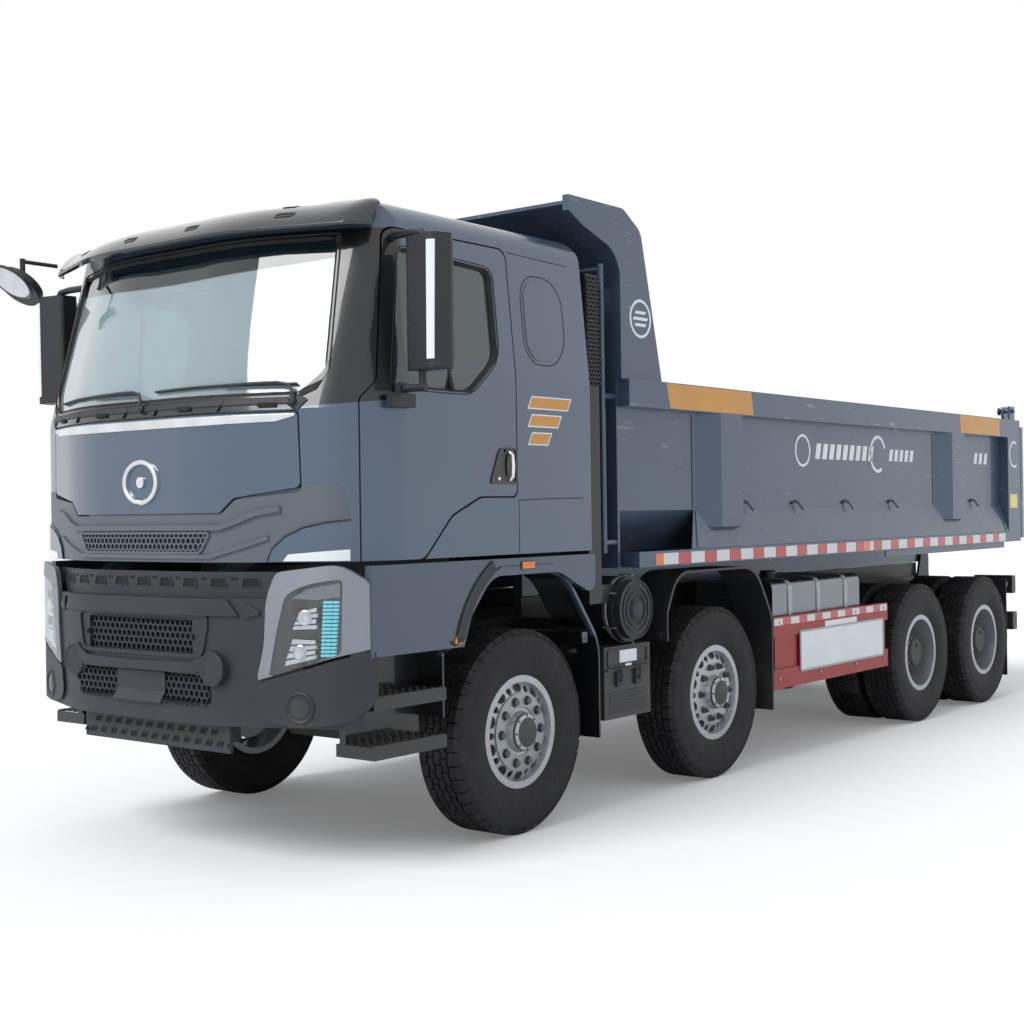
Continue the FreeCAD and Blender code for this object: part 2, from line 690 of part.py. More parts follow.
STEER_AXLES = (("front", AXLE_1), ("second", AXLE_2))
DRIVE_AXLES = (("third", AXLE_3), ("fourth", AXLE_4))
BOSS_LOW = HUB - D.boss_half
BOSS_HIGH = HUB + D.boss_half
STUB_INNER = D.kingpin_track + D.kingpin_boss + 6
ROD_UP = BOSS_LOW - D.lug - 30


def beam(station):
    """A dropped axle beam with its kingpins."""
    eye = D.kingpin_track
    half = [
        (eye, BOSS_LOW),
        (eye - 220, BOSS_LOW),
        (eye - 330, BOSS_LOW - 90),
        (ZERO, BOSS_LOW - 90),
    ]
    top = [
        (ZERO, BOSS_LOW + 10),
        (eye - 340, BOSS_LOW + 10),
        (eye - 230, BOSS_HIGH),
        (eye, BOSS_HIGH),
    ]
    lower = half + [(-point[0], point[1]) for point in reversed(half[:-1])]
    upper = [(-point[0], point[1]) for point in reversed(top)] + top[1:]
    web = prism("Y", lower + upper, (station - 45, station + 45))
    pieces = [web]
    for side in (1, -1):
        centre = (eye * side, station)
        pieces.append(rod("Z", centre, (BOSS_LOW, BOSS_HIGH), D.kingpin_boss))
        pieces.append(rod("Z", centre, (BOSS_LOW - D.lug - 6, BOSS_HIGH + D.lug + 6), D.kingpin_radius))
    return fuse(*pieces, *spring_seats(station, BOSS_LOW))


def knuckle(station):
    """The left knuckle: two lugs around the kingpin, the stub axle and the steering arm."""
    eye = D.kingpin_track
    lugs = []
    for low, high in (
        (BOSS_LOW - D.lug - D.lug_gap, BOSS_LOW - D.lug_gap),
        (BOSS_HIGH + D.lug_gap, BOSS_HIGH + D.lug + D.lug_gap),
    ):
        lugs.append(rod("Z", (eye, station), (low, high), D.kingpin_boss))
        along = (station - D.kingpin_boss, station + D.kingpin_boss)
        lugs.append(block((eye, STUB_INNER + 20), along, (low, high)))
    plate = block(
        (STUB_INNER, STUB_INNER + 24),
        (station - 60, station + 60),
        (BOSS_LOW - D.lug - D.lug_gap, BOSS_HIGH + D.lug + D.lug_gap),
    )
    stub_end = D.steer_track + D.steer_stud_face - 24
    stub = rod("X", (station, HUB), (STUB_INNER, stub_end), D.stub_radius)
    arm = block(
        (eye - D.steer_arm_half, eye + D.steer_arm_half),
        (station, station + D.steer_arm + D.steer_arm_half),
        (BOSS_LOW - D.lug - D.lug_gap, BOSS_LOW - D.lug - D.lug_gap + D.steer_arm_thick),
    )
    ball = rod("Z", (eye, station + D.steer_arm), (ROD_UP - D.rod_radius, BOSS_LOW - D.lug), 12)
    bore = rod(
        "Z", (eye, station), (BOSS_LOW - D.lug - 20, BOSS_HIGH + D.lug + 20), D.kingpin_radius + D.bearing_fit
    )
    return fuse(cut(fuse(*lugs, plate, stub, arm), bore), ball)


def track_rod(station):
    """The rod between the two steering arms, bored for their pins."""
    eye = D.kingpin_track
    place = station + D.steer_arm
    pieces = [rod("X", (place, ROD_UP), (-eye, eye), D.rod_radius)]
    bores = []
    for side in (1, -1):
        pieces.append(rod("Z", (eye * side, place), (ROD_UP - 18, ROD_UP + 18), 26))
        bores.append(rod("Z", (eye * side, place), (ROD_UP - 30, ROD_UP + 30), 12 + D.pin_fit))
    return cut(fuse(*pieces), *bores)


def drive_axle(station):
    """A driven axle with its differential, the tubes that carry the hubs and the spring seats."""
    end = D.drive_track - 6
    tube = rod("X", (station, HUB), (-end, end), D.tube_radius)
    casing = rod("X", (station, HUB), (-D.casing_half, D.casing_half), D.casing_radius)
    nose = rod("Y", (ZERO, HUB), (station - D.casing_nose, station), D.nose_radius)
    return fuse(tube, casing, nose, *spring_seats(station, HUB))


def propeller_shafts():
    """The shaft from the gearbox down to the third axle and the one on to the fourth."""
    start, end = GEARBOX_REAR + 2, AXLE_3 - D.casing_nose
    run, drop = end - start, D.gearbox_out_up - HUB
    shaft = document.addObject("Part::Cylinder", "Shaft")
    shaft.Placement = Placement(Vector(), Rotation(ACROSS, -90))
    shaft.setExpression("Radius", D.shaft_radius.formula)
    shaft.setExpression("Height", f"sqrt(pow({run.formula}; 2) + pow({drop.formula}; 2))")
    shaft.setExpression("Placement.Base.y", start.formula)
    shaft.setExpression("Placement.Base.z", D.gearbox_out_up.formula)
    shaft.setExpression("Placement.Rotation.Angle", f"-90 - atan2({drop.formula}; {run.formula}) / 1deg")
    return [shaft, rod("Y", (ZERO, HUB), (AXLE_3, AXLE_4 - D.casing_nose), D.shaft_radius)]


def springs(station):
    """Leaf packs under both rails, with the hangers that carry their ends."""
    middle = D.rail_half_width - D.spring_half
    width = (middle - D.spring_half, middle + D.spring_half)
    low, high = D.spring_foot, D.spring_foot + D.spring_thick
    tip = D.spring_foot + D.spring_camber
    pack = [
        (station - D.spring_reach, tip),
        (station - D.spring_seat, low, 600),
        (station + D.spring_seat, low, 600),
        (station + D.spring_reach, tip),
        (station + D.spring_reach, tip + D.leaf),
        (station + D.spring_seat, high, 600),
        (station - D.spring_seat, high, 600),
        (station - D.spring_reach, tip + D.leaf),
    ]
    hangers = [
        block(width, (end - D.leaf, end + D.leaf), (tip, D.rail_top - D.rail_height))
        for end in (station - D.spring_reach, station + D.spring_reach)
    ]
    return both_sides(fuse(prism("X", pack, width), *hangers))


def spring_seats(station, low):
    """The blocks between an axle and its springs."""
    inner = D.rail_half_width - 2 * D.spring_half
    along = (station - D.spring_seat, station + D.spring_seat)
    seat = block((inner, D.rail_half_width), along, (low, D.spring_foot))
    return [seat, mirror(seat)]


# ---------------------------------------------------------------- frame

def frame():
    """Two channel rails with crossmembers, the tipping subframe, the hinge plates and the ram's foot."""
    outer, wall = D.rail_half_width, D.rail_wall
    inner = outer - D.rail_flange
    top, foot = D.rail_top, D.rail_top - D.rail_height
    start, end = AXLE_1 - D.rail_front, AXLE_4 + D.rail_rear
    channel = [
        (outer, foot),
        (outer, top),
        (inner, top),
        (inner, top - wall),
        (outer - wall, top - wall),
        (outer - wall, foot + wall),
        (inner, foot + wall),
        (inner, foot),
    ]
    rail = prism("Y", channel, (start, end))
    middle = (top + foot) / 2
    web = outer - wall
    tubes = [
        block((-web, web), (place - 40, place + 40), (middle - D.cross_tube, middle + D.cross_tube))
        for place in (
            start + 60,
            AXLE_1 + 1330,
            AXLE_2 + 1100,
            AXLE_2 + 2000,
            AXLE_3 + D.wheelbase_rear / 2,
            end - 60,
        )
    ]
    rest = D.rail_half_width - D.rail_flange / 2
    subframe = block(
        (rest - D.subframe_half, rest + D.subframe_half),
        (BED_FRONT + 60, TIP_Y - 110),
        (top, D.subframe_top),
    )
    plate = prism(
        "X",
        [
            (TIP_Y - 150, foot + 60),
            (TIP_Y + 90, foot + 60),
            (TIP_Y + 90, D.tip_hinge_up, 60),
            (TIP_Y + 50, D.tip_hinge_up + 60, 50),
            (TIP_Y - 60, D.tip_hinge_up + 60, 50),
            (TIP_Y - 150, top, 60),
        ],
        (outer, outer + D.hinge_plate),
    )
    hinge = rod("X", (TIP_Y, D.tip_hinge_up), (-(outer + D.hinge_plate), outer + D.hinge_plate), D.tip_pin)
    foot_beam = block((-web, web), (RAM_FOOT_Y - 70, RAM_FOOT_Y + 70), (foot + 20, D.ram_foot_up - 75))
    cheek = block(
        (D.ram_foot_half + 6, D.ram_foot_half + 30),
        (RAM_FOOT_Y - 60, RAM_FOOT_Y + 60),
        (D.ram_foot_up - 75, D.ram_foot_up + 60),
    )
    foot_pin = rod(
        "X", (RAM_FOOT_Y, D.ram_foot_up), (-(D.ram_foot_half + 30), D.ram_foot_half + 30), D.ram_pin
    )
    tower = prism(
        "X",
        [
            (CAB_PIVOT_Y - D.cab_eye, D.rail_top + 60, 40),
            (CAB_PIVOT_Y - D.cab_eye, D.cab_pivot_up + D.cab_eye, 24),
            (CAB_PIVOT_Y + D.cab_eye, D.cab_pivot_up + D.cab_eye, 24),
            (start + D.cab_arm_reach, top + 60, 60),
            (start + D.cab_arm_reach, top),
            (start, top),
        ],
        (outer - 45, outer),
    )
    cab_pin = rod("X", (CAB_PIVOT_Y, D.cab_pivot_up), (outer - 45, CAB_ARM_SPAN[1] + 10), D.cab_pin)
    cab_rest = block((inner, outer), (CAB_REAR - 120, CAB_REAR - 40), (top, D.cab_floor - D.rest_gap))
    solids = [rail, subframe, plate, cheek, fuse(tower, cab_pin), cab_rest]
    holes = [
        rod("Y", (D.tow_pitch_across / 2 * x, middle + D.tow_pitch_up / 2 * z), (end - 110, end), D.tow_hole)
        for x in (1, -1)
        for z in (1, -1)
    ]
    whole = fuse(*solids, *[mirror(solid) for solid in solids], *tubes, hinge, foot_beam, foot_pin)
    return cut(whole, *holes)


# ---------------------------------------------------------------- tipping ram

RAM_STAGES = 4
EYE_DROP = D.ram_eye_up - D.tip_hinge_up
FOOT_DROP = D.tip_hinge_up - D.ram_foot_up
EYE_BACK = TIP_Y - RAM_Y
RAM_REACH = EYE_BACK * EYE_BACK + EYE_DROP * EYE_DROP - FOOT_DROP * FOOT_DROP
RAM_FOOT_Y = TIP_Y - Size(f"sqrt({RAM_REACH.formula})", math.sqrt(RAM_REACH.value))


def ram_stages():
    """Nested tubes that leave the foot one after another; the outermost one lifts the bed."""
    centre = (ZERO, RAM_FOOT_Y)
    top = D.ram_cover_top
    cover_foot = D.ram_foot_up + 110
    for stage in range(RAM_STAGES):
        radius = D.ram_cover_radius - D.ram_step * (RAM_STAGES - stage)
        low = cover_foot - 12 * (RAM_STAGES - stage)
        high = top - 26 * (RAM_STAGES - stage)
        tube = rod("Z", centre, (low, high), radius)
        bore = radius - D.ram_step + D.ram_bore_gap
        if stage:
            label(cut(tube, rod("Z", centre, (low - 10, high - 20), bore)), f"ram_stage_{stage}")
            continue
        foot_pin = (RAM_FOOT_Y, D.ram_foot_up)
        knuckle_end = rod("X", foot_pin, (-D.ram_foot_half, D.ram_foot_half), D.ram_pin + 24)
        pin_hole = rod(
            "X", foot_pin, (-D.ram_foot_half - 5, D.ram_foot_half + 5), D.ram_pin + D.pin_fit
        )
        shaft = rod("Z", centre, (D.ram_foot_up, low + 10), radius)
        label(cut(fuse(tube, shaft, knuckle_end), pin_hole), "ram_foot")
    shell = rod("Z", centre, (cover_foot, top), D.ram_cover_radius)
    bore = D.ram_cover_radius - D.ram_step + D.ram_bore_gap
    hollow = rod("Z", centre, (cover_foot - 10, top - 20), bore)
    trunnion = rod(
        "X",
        (RAM_FOOT_Y, D.ram_eye_up),
        (-(D.ram_cover_radius + 14), D.ram_cover_radius + 14),
        D.ram_trunnion,
    )
    label(cut(fuse(shell, trunnion), hollow), "ram_cover")


# ---------------------------------------------------------------- cab

SEAT_X = D.tunnel_half + D.seat_gap
SEAT_Y = AXLE_1 - D.seat_ahead
SEAT_UP = D.cab_floor + D.seat_up
COLUMN_RAKE = 25
WHEEL_Y = SEAT_Y - D.wheel_ahead
WHEEL_UP = SEAT_UP + D.wheel_above


def plan(inset, reach=ZERO, moved=ZERO):
    """The cab seen from above; inset shrinks it, reach lengthens it and moved shifts its front back."""
    front = CAB_FRONT + inset + moved
    side = D.cab_side - inset
    rear = CAB_REAR - inset + reach
    half = [
        (side, rear),
        (side, CAB_FRONT + D.shoulder_depth + inset + moved, 300),
        (D.cheek_half - inset, CAB_FRONT + D.cheek_depth + inset + moved, 220),
        (D.nose_half, front, 1200),
    ]
    return mirrored_points(half)


def cab_volume(inset):
    """Everything inside the cab's skin, or inside a surface that lies inset behind the skin."""
    inset = Size.of(inset)
    lower = prism("Z", plan(inset, Size.of(10)), (D.cab_floor - 10, D.cab_belt))
    upper = prism("Z", plan(inset, Size.of(400)), (D.cab_belt, D.cab_roof + 20), D.screen_lean)
    profile = prism(
        "X",
        [
            (CAB_FRONT - 20, D.cab_floor + inset),
            (CAB_REAR - inset, D.cab_floor + inset),
            (CAB_REAR - inset, D.cab_roof - 20 - inset, 160),
            (CAB_FRONT + 540, D.cab_roof - inset, 500),
            (CAB_FRONT - 20, D.cab_roof - 250 - inset),
        ],
        (-D.half_width, D.half_width),
    )
    flank = mirrored_points(
        [
            (D.cab_side - inset, D.cab_floor - 20),
            (D.cab_side - inset, D.cab_waist, 700),
            (D.cab_roof_half - inset, D.cab_eaves - inset, 120),
        ]
    )
    crown = (ZERO, D.cab_roof - inset, 3000)
    face = prism("Y", flank[:3] + [crown] + flank[3:], (FRONT - 50, CAB_REAR + 50))
    return common(fuse(lower, upper), profile, face)


def door_outline(grow):
    """The side outline of a door; grow widens it all round."""
    front, rear = AXLE_1 - D.door_front - grow, AXLE_1 - D.door_rear + grow
    foot, step, top = D.cab_floor - grow, D.door_step_top - grow, D.door_top + grow
    return [
        (front, foot),
        (AXLE_1 - 850 + grow, foot, 90),
        (AXLE_1 - 640 + grow, step - 90, 150),
        (AXLE_1 - 420 + grow, step, 120),
        (rear, step, 40),
        (rear, top, 60),
        (front + 190, top, 60),
        (front + 95, D.sill_window + 30, 60),
        (front, D.sill_window - 60, 60),
    ]


def side_window(grow):
    """The opening in a door for its glass."""
    front, rear = AXLE_1 - 1040 - grow, AXLE_1 - 250 + grow
    foot, head = D.sill_window - grow, D.head_window + grow
    return [
        (front, foot, 40),
        (AXLE_1 - 480 + grow, foot, 60),
        (rear, foot + 190, 90),
        (rear, head - 30, 60),
        (front + 95, head, 50),
    ]


def screen_outline(grow):
    """The windscreen's opening seen from the front."""
    half, foot, head = D.screen_half + grow, D.screen_foot - grow, D.screen_head + grow
    return mirrored_points([(half - 120, foot, 60), (half, foot + 120, 90), (half - 60, head, 60)])


def lid_outline(grow):
    """The front lid: wide at the top, with a dropped middle."""
    half, foot, top = D.lid_half + grow, D.lid_foot - grow, D.lid_top + grow
    return mirrored_points(
        [
            (D.nose_half + 50 + grow, foot, 20),
            (D.nose_half + 130 + grow, foot + 70, 40),
            (half + 10, foot + 100 + (D.shut_gap - grow) * 2, 30),
            (half, top, 20),
        ]
    )


def mask_outline(grow):
    """The dark mask below the lid, with a wing at each side."""
    foot = D.cab_floor - 20
    half = D.mask_half + grow
    return mirrored_points(
        [
            (D.lid_half - 110 + grow, foot),
            (D.lid_half - 70 + grow, D.cab_floor + 60 - grow, 60),
            (half, D.cab_floor + 190 - grow, 30),
            (half - 20, D.lid_foot + 130 + grow, 30),
        ]
    )


SIDE_SLAB = (D.cab_side - 200, D.half_width + 20)
NOSE_SLAB = (FRONT - 60, CAB_FRONT + D.shoulder_depth)
MASK_SLAB = (FRONT - 60, CAB_FRONT + D.cheek_depth + 60)


def skin(outer, inner):
    """The layer between two surfaces inside the cab's skin."""
    return cut(cab_volume(outer), cab_volume(inner))


def cab():
    gap = D.shut_gap
    shell = skin(0, D.cab_wall)
    openings = []
    floor_span = (D.cab_floor - 30, D.cab_floor + D.cab_wall)
    door_space = cut(
        prism("X", door_outline(gap), SIDE_SLAB),
        prism("Z", plan(D.cab_wall + D.sill_gap, ZERO), floor_span),
    )
    openings += [door_space, mirror(door_space)]
    openings.append(prism("Y", screen_outline(ZERO), NOSE_SLAB))
    lid_space = common(skin(-5, D.lid_recess), prism("Y", lid_outline(gap), NOSE_SLAB))
    mask_space = common(skin(-5, D.mask_skin), prism("Y", mask_outline(ZERO), MASK_SLAB))
    tunnel = block(
        (-D.tunnel_half, D.tunnel_half),
        (CAB_FRONT + D.cheek_depth + 200, CAB_REAR - D.cab_wall),
        (D.cab_floor + D.cab_wall, D.tunnel_top),
    )
    arm = cut(
        fuse(
            rod("X", (CAB_PIVOT_Y, D.cab_pivot_up), CAB_ARM_SPAN, D.cab_eye),
            prism(
                "X",
                [
                    (CAB_PIVOT_Y, D.cab_pivot_up + D.cab_eye - 2),
                    (CAB_PIVOT_Y + D.cab_arm_reach / 3, D.cab_floor),
                    (CAB_PIVOT_Y + D.cab_arm_reach, D.cab_floor),
                    (CAB_PIVOT_Y + D.cab_eye, D.cab_pivot_up - D.cab_eye + 8, 20),
                    (CAB_PIVOT_Y, D.cab_pivot_up - D.cab_eye + 2),
                ],
                CAB_ARM_SPAN,
            ),
        ),
        rod(
            "X",
            (CAB_PIVOT_Y, D.cab_pivot_up),
            (CAB_ARM_SPAN[0] - 5, CAB_ARM_SPAN[1] + 5),
            D.cab_pin + D.pin_fit,
        ),
    )
    shell = cut(shell, *openings, lid_space, mask_space)
    label(fuse(shell, tunnel, arm, mirror(arm)), "cab_shell")
    glass = skin(D.glass_inset, D.glass_inset + D.glass)
    label(common(glass, prism("Y", screen_outline(-D.glass_fit), NOSE_SLAB)), "windscreen")
    lid = common(skin(0, D.lid_skin), prism("Y", lid_outline(ZERO), NOSE_SLAB))
    pad = common(
        skin(D.lid_skin, D.lid_recess - D.rest_gap),
        block((D.nose_half - 200, D.nose_half - 100), NOSE_SLAB, (D.lid_top - 60, D.lid_top - 20)),
    )
    label(fuse(lid, pad, mirror(pad)), "front_lid")
    mask = common(skin(0, D.mask_skin - 0.3), prism("Y", mask_outline(-D.glass_fit), MASK_SLAB))
    label(cut(mask, prism("Y", lid_outline(gap), NOSE_SLAB)), "front_mask")
    leaf = common(skin(0, D.cab_wall), prism("X", door_outline(ZERO), SIDE_SLAB))
    leaf = cut(leaf, prism("X", side_window(ZERO), SIDE_SLAB), prism("Z", plan(D.cab_wall, ZERO), floor_span))
    pane = common(
        skin(D.cab_wall / 2, D.cab_wall / 2 + D.glass), prism("X", side_window(-D.glass_fit), SIDE_SLAB)
    )
    for side_name, side in SIDES:
        label(leaf if side > 0 else mirror(leaf), f"door_{side_name}")
        label(pane if side > 0 else mirror(pane), f"door_glass_{side_name}")


def door_mirror():
    """A tall mirror housing on two arms from the door."""
    tube = D.mirror_tube
    inner = D.cab_side + 90
    outer = inner + 240
    front = AXLE_1 - 1100
    foot = (D.cab_side, D.cab_side + 34)
    housing = prism(
        "Z",
        [
            (inner, front + 40, 30),
            (outer - 40, front, 40),
            (outer, front + 130, 30),
            (inner, front + 150, 20),
        ],
        (D.sill_window + 70, D.head_window + 10),
    )
    arms = [
        rod("X", (front + 90, D.sill_window - 10), (D.cab_side, inner + 80), tube),
        rod("Z", (inner + 60, front + 90), (D.sill_window - 10, D.sill_window + 90), tube),
        block(foot, (front, front + 170), (D.sill_window - 95, D.sill_window - 30)),
        block(foot, (front + 60, front + 120), (D.sill_window - 95, D.sill_window + 20)),
    ]
    return fuse(housing, *arms)


def front_mirror():
    """A round mirror that hangs ahead of the right-hand end of the visor."""
    x, y, z = -D.cheek_half, AXLE_1 - 1450, D.screen_head - 40
    arm = rod("Y", (x, D.screen_head + 80), (y, CAB_FRONT + D.shoulder_depth), D.mirror_arm)
    visor_outside = plan(-D.visor_proud - D.rest_gap, ZERO, D.visor_back)
    cap = prism("Z", visor_outside, (D.screen_head, D.screen_head + 200))
    boss = D.mirror_arm + 4
    drop = rod("Z", (x, y), (z - 15, D.screen_head + 80 + boss), boss)
    dish = document.addObject("Part::Cylinder", "Dish")
    dish.Placement = Placement(Vector(), Rotation(ACROSS, 140))
    dish.setExpression("Radius", D.round_mirror_radius.formula)
    dish.setExpression("Height", D.mirror_dish.formula)
    for axis, place in zip("xyz", (x, y, z)):
        dish.setExpression(f"Placement.Base.{axis}", place.formula)
    return fuse(cut(arm, cap), drop, dish)


def cab_fittings():
    sill = door_mirror()
    label(sill, "mirror_left")
    label(mirror(sill), "mirror_right")
    ring = cut(
        prism("Z", plan(-D.visor_proud, ZERO, D.visor_back), (D.screen_head + 20, D.screen_head + 140)),
        prism("Z", plan(D.visor_wall - D.visor_proud, ZERO, D.visor_back), (D.screen_head + 10, D.screen_head + 120)),
    )
    ahead = block(
        (-D.half_width, D.half_width),
        (FRONT - 100, CAB_FRONT + D.visor_back + D.cheek_depth + 110),
        (D.screen_head, D.screen_head + 200),
    )
    label(cut(common(ring, ahead), cab_volume(-D.glass_fit)), "sun_visor")
    deck = common(
        cab_volume(D.cab_wall + D.rest_gap),
        block(
            (-(D.cab_side - D.dash_end_gap), D.cab_side - D.dash_end_gap),
            (FRONT, CAB_FRONT + 430),
            (D.tunnel_top - 200, D.screen_foot - 20),
        ),
    )
    column = document.addObject("Part::Cylinder", "Column")
    column.Placement = Placement(Vector(), Rotation(ACROSS, -COLUMN_RAKE))
    sine, cosine = math.sin(math.radians(COLUMN_RAKE)), math.cos(math.radians(COLUMN_RAKE))
    reach = (WHEEL_UP - D.cab_floor - D.cab_wall - D.column_radius * sine - D.rest_gap) / cosine
    column.setExpression("Radius", D.column_radius.formula)
    column.setExpression("Height", (reach - D.rest_gap).formula)
    for axis, place in zip("xyz", (SEAT_X, WHEEL_Y - reach * sine, WHEEL_UP - reach * cosine)):
        column.setExpression(f"Placement.Base.{axis}", place.formula)
    label(group(deck, column), "dashboard")
    label(front_mirror(), "front_mirror")
    cushion_foot = SEAT_UP - D.cushion_thick
    seat = fuse(
        block((SEAT_X - 230, SEAT_X + 190), (SEAT_Y - 250, SEAT_Y + 250), (cushion_foot, SEAT_UP)),
        block((SEAT_X - 200, SEAT_X + 180), (SEAT_Y + 190, SEAT_Y + 320), (SEAT_UP, SEAT_UP + D.seat_back)),
        block(
            (SEAT_X - 100, SEAT_X + 100),
            (SEAT_Y - 120, SEAT_Y + 120),
            (D.cab_floor + D.cab_wall, cushion_foot),
        ),
    )
    label(both_sides(seat), "seats")


def steering_wheel():
    """A rim on a raked column; it turns about the column's axis."""
    body = document.addObject("PartDesign::Body", "SteeringWheel")
    turned(
        body,
        "Hub",
        [
            (ZERO, ZERO),
            (Size.of(60), ZERO),
            (Size.of(60), Size.of(50)),
            (Size.of(40), Size.of(60)),
            (D.column_radius, D.wheel_radius - 30),
            (Size.of(60), D.wheel_radius - 20),
            (Size.of(60), D.wheel_radius),
            (Size.of(30), D.wheel_radius),
            (Size.of(20), D.wheel_radius - 30),
            (Size.of(16), Size.of(50)),
            (ZERO, Size.of(40)),
        ],
    )
    body.Placement = Placement(Vector(), Rotation(ACROSS, -COLUMN_RAKE) * Rotation(ALONG, -90))
    for axis, place in zip("xyz", (SEAT_X, WHEEL_Y, WHEEL_UP)):
        body.setExpression(f"Placement.Base.{axis}", place.formula)
    label(body, "steering_wheel")


# ---------------------------------------------------------------- front end on the frame

def nose_ring(outer, inner, low, high):
    """A band that follows the front's plan between two heights."""
    return cut(
        prism("Z", plan(Size.of(outer), ZERO), (low, high)),
        prism("Z", plan(Size.of(inner), Size.of(100)), (low - 10, high + 10)),
    )


def front_end():
    nose_span = (FRONT - 20, AXLE_1 - D.bumper_rear)
    bumper_front = -D.cab_nose
    wall = bumper_front + D.bumper_wall
    band = common(
        nose_ring(bumper_front, wall, D.bumper_foot, D.bumper_top),
        block((-D.cab_side, D.cab_side), nose_span, (D.bumper_foot, D.bumper_top)),
    )
    gap_plate = common(
        nose_ring(Size.of(15), Size.of(33), D.bumper_top, D.cab_floor - 45),
        block((-D.lamp_half + 6, D.lamp_half - 6), nose_span, (D.bumper_top, D.cab_floor)),
    )
    upper = block((-400, 400), (FRONT - 20, FRONT + 30), (D.bumper_top - 265, D.bumper_top - 105))
    lower = block((-510, 510), (FRONT - 20, FRONT + 30), (D.bumper_foot + 100, D.bumper_foot + 240))
    lamp_box = [
        (D.lamp_half, D.lamp_foot + 60),
        (D.lamp_half + 40, D.lamp_foot - 20),
        (D.cab_side + 30, D.lamp_foot + 60),
        (D.cab_side + 30, D.lamp_top),
        (D.lamp_half + 60, D.lamp_top),
        (D.lamp_half, D.lamp_top - 120),
    ]
    lamp_cut = prism("Y", lamp_box, nose_span)
    beam_low = D.rail_top - D.rail_height
    carrier = block(
        (-D.rail_half_width, D.rail_half_width),
        (FRONT + D.bumper_wall, AXLE_1 - D.rail_front),
        (beam_low + 40, D.rail_top - 40),
    )
    arms = block(
        (-D.lamp_half, D.lamp_half),
        (FRONT + D.bumper_wall + 130, FRONT + D.bumper_wall + 180),
        (beam_low + 80, D.rail_top - 80),
    )
    pocket = [
        common(
            nose_ring(behind, wall + 24, low, high),
            block((D.lamp_half, D.cab_side), nose_span, (low, high)),
        )
        for behind, low, high in (
            (wall + D.rest_gap, D.lamp_foot - 60, D.lamp_top - 20),
            (wall - 10, D.lamp_foot - 60, D.lamp_foot - 24),
        )
    ]
    pocket += [mirror(piece) for piece in pocket]
    shell = cut(band, upper, lower, lamp_cut, mirror(lamp_cut))
    pieces = fuse(shell, gap_plate, carrier, arms, *pocket)
    underrun = block((-560, 560), (FRONT + 90, FRONT + 110), (D.bumper_foot - 140, D.bumper_foot + 60))
    hangers = block((-400, -350), (FRONT + 110, FRONT + 300), (D.bumper_foot - 120, beam_low + 60))
    label(fuse(pieces, underrun, hangers, mirror(hangers)), "front_bumper")
    fitted = prism(
        "Y",
        [
            (D.lamp_half + 2, D.lamp_foot + 62),
            (D.lamp_half + 42, D.lamp_foot - 15),
            (D.cab_side + 28, D.lamp_foot + 63),
            (D.cab_side + 28, D.lamp_top - 4),
            (D.lamp_half + 61, D.lamp_top - 4),
            (D.lamp_half + 2, D.lamp_top - 121),
        ],
        nose_span,
    )
    lamp = common(nose_ring(bumper_front + 2, wall, D.lamp_foot - 30, D.lamp_top), fitted)
    label(both_sides(lamp), "headlights")


def front_fenders():
    """The panel ahead of the front wheel, the arch over it, the liner behind it and the steps."""
    wall = D.fender_wall
    outer = D.cab_side
    front = AXLE_1 - D.bumper_rear + 4
    rear = CAB_REAR + 30
    panel = cut(
        prism(
            "X",
            [
                (front, D.fender_foot),
                (AXLE_1 - 560, D.fender_foot),
                (AXLE_1 - 500, D.fender_foot + 150, 60),
                (AXLE_1 - 330, D.fender_foot + 340, 200),
                (AXLE_1 + 240, D.fender_foot + 340, 200),
                (rear, D.fender_foot + 190, 60),
                (rear, D.fender_top),
                (front, D.fender_top),
            ],
            (outer - 40, outer),
        )
    )
    liner = band(
        [
            (AXLE_1 - D.guard_reach - 30, D.tyre_radius + 160),
            (AXLE_1 - D.guard_reach - 30, D.fender_foot + 120, 200),
            (AXLE_1 - 400, D.fender_top - 90, 260),
            (AXLE_1 + 330, D.fender_top - 90, 300),
            (AXLE_1 + D.guard_reach + 10, D.fender_foot - 80, 260),
            (AXLE_1 + D.guard_reach + 10, D.liner_foot),
        ],
        wall,
        (D.guard_inner, outer - 40),
    )
    steps = [
        block((outer - 260, outer - 10), (front + 16, AXLE_1 - 690), (low, low + D.step_thick))
        for low in (D.step_low, D.step_low + D.step_rise)
    ]
    riser = block(
        (outer - 240, outer - 200),
        (front + 20, AXLE_1 - D.guard_reach - 30 - wall),
        (D.step_low, D.fender_foot + 100),
    )
    bracket = block(
        (D.rail_half_width, outer - 200), (front + 60, front + 130), (D.rail_top - 180, D.rail_top - 60)
    )
    behind_cab = (CAB_REAR - 20, CAB_REAR + 30)
    hung = (D.rail_top - 90, D.rail_top - 30)
    hanger = block((D.rail_half_width, D.guard_inner), behind_cab, hung)
    hanger_up = block((D.guard_inner, outer - 60), behind_cab, hung)
    solids = fuse(panel, liner, *steps, riser, bracket, hanger, hanger_up)
    label(both_sides(solids), "front_fenders")


def band(path, wall, span):
    """A bent strip of one thickness, drawn by its inner path; the outside is offset by the wall."""
    inner = [tuple(Size.of(value) for value in point) for point in path]
    first, last = inner[0], inner[-1]
    outer = []
    for point in inner:
        side = -1 if point[0].value < ((first[0] + last[0]) / 2).value else 1
        low = point is first or point is last
        shifted = (point[0] + wall * side, point[1] if low else point[1] + wall)
        outer.append(shifted + ((point[2] + wall,) if len(point) > 2 else ()))
    return prism("X", inner + list(reversed(outer)), span)


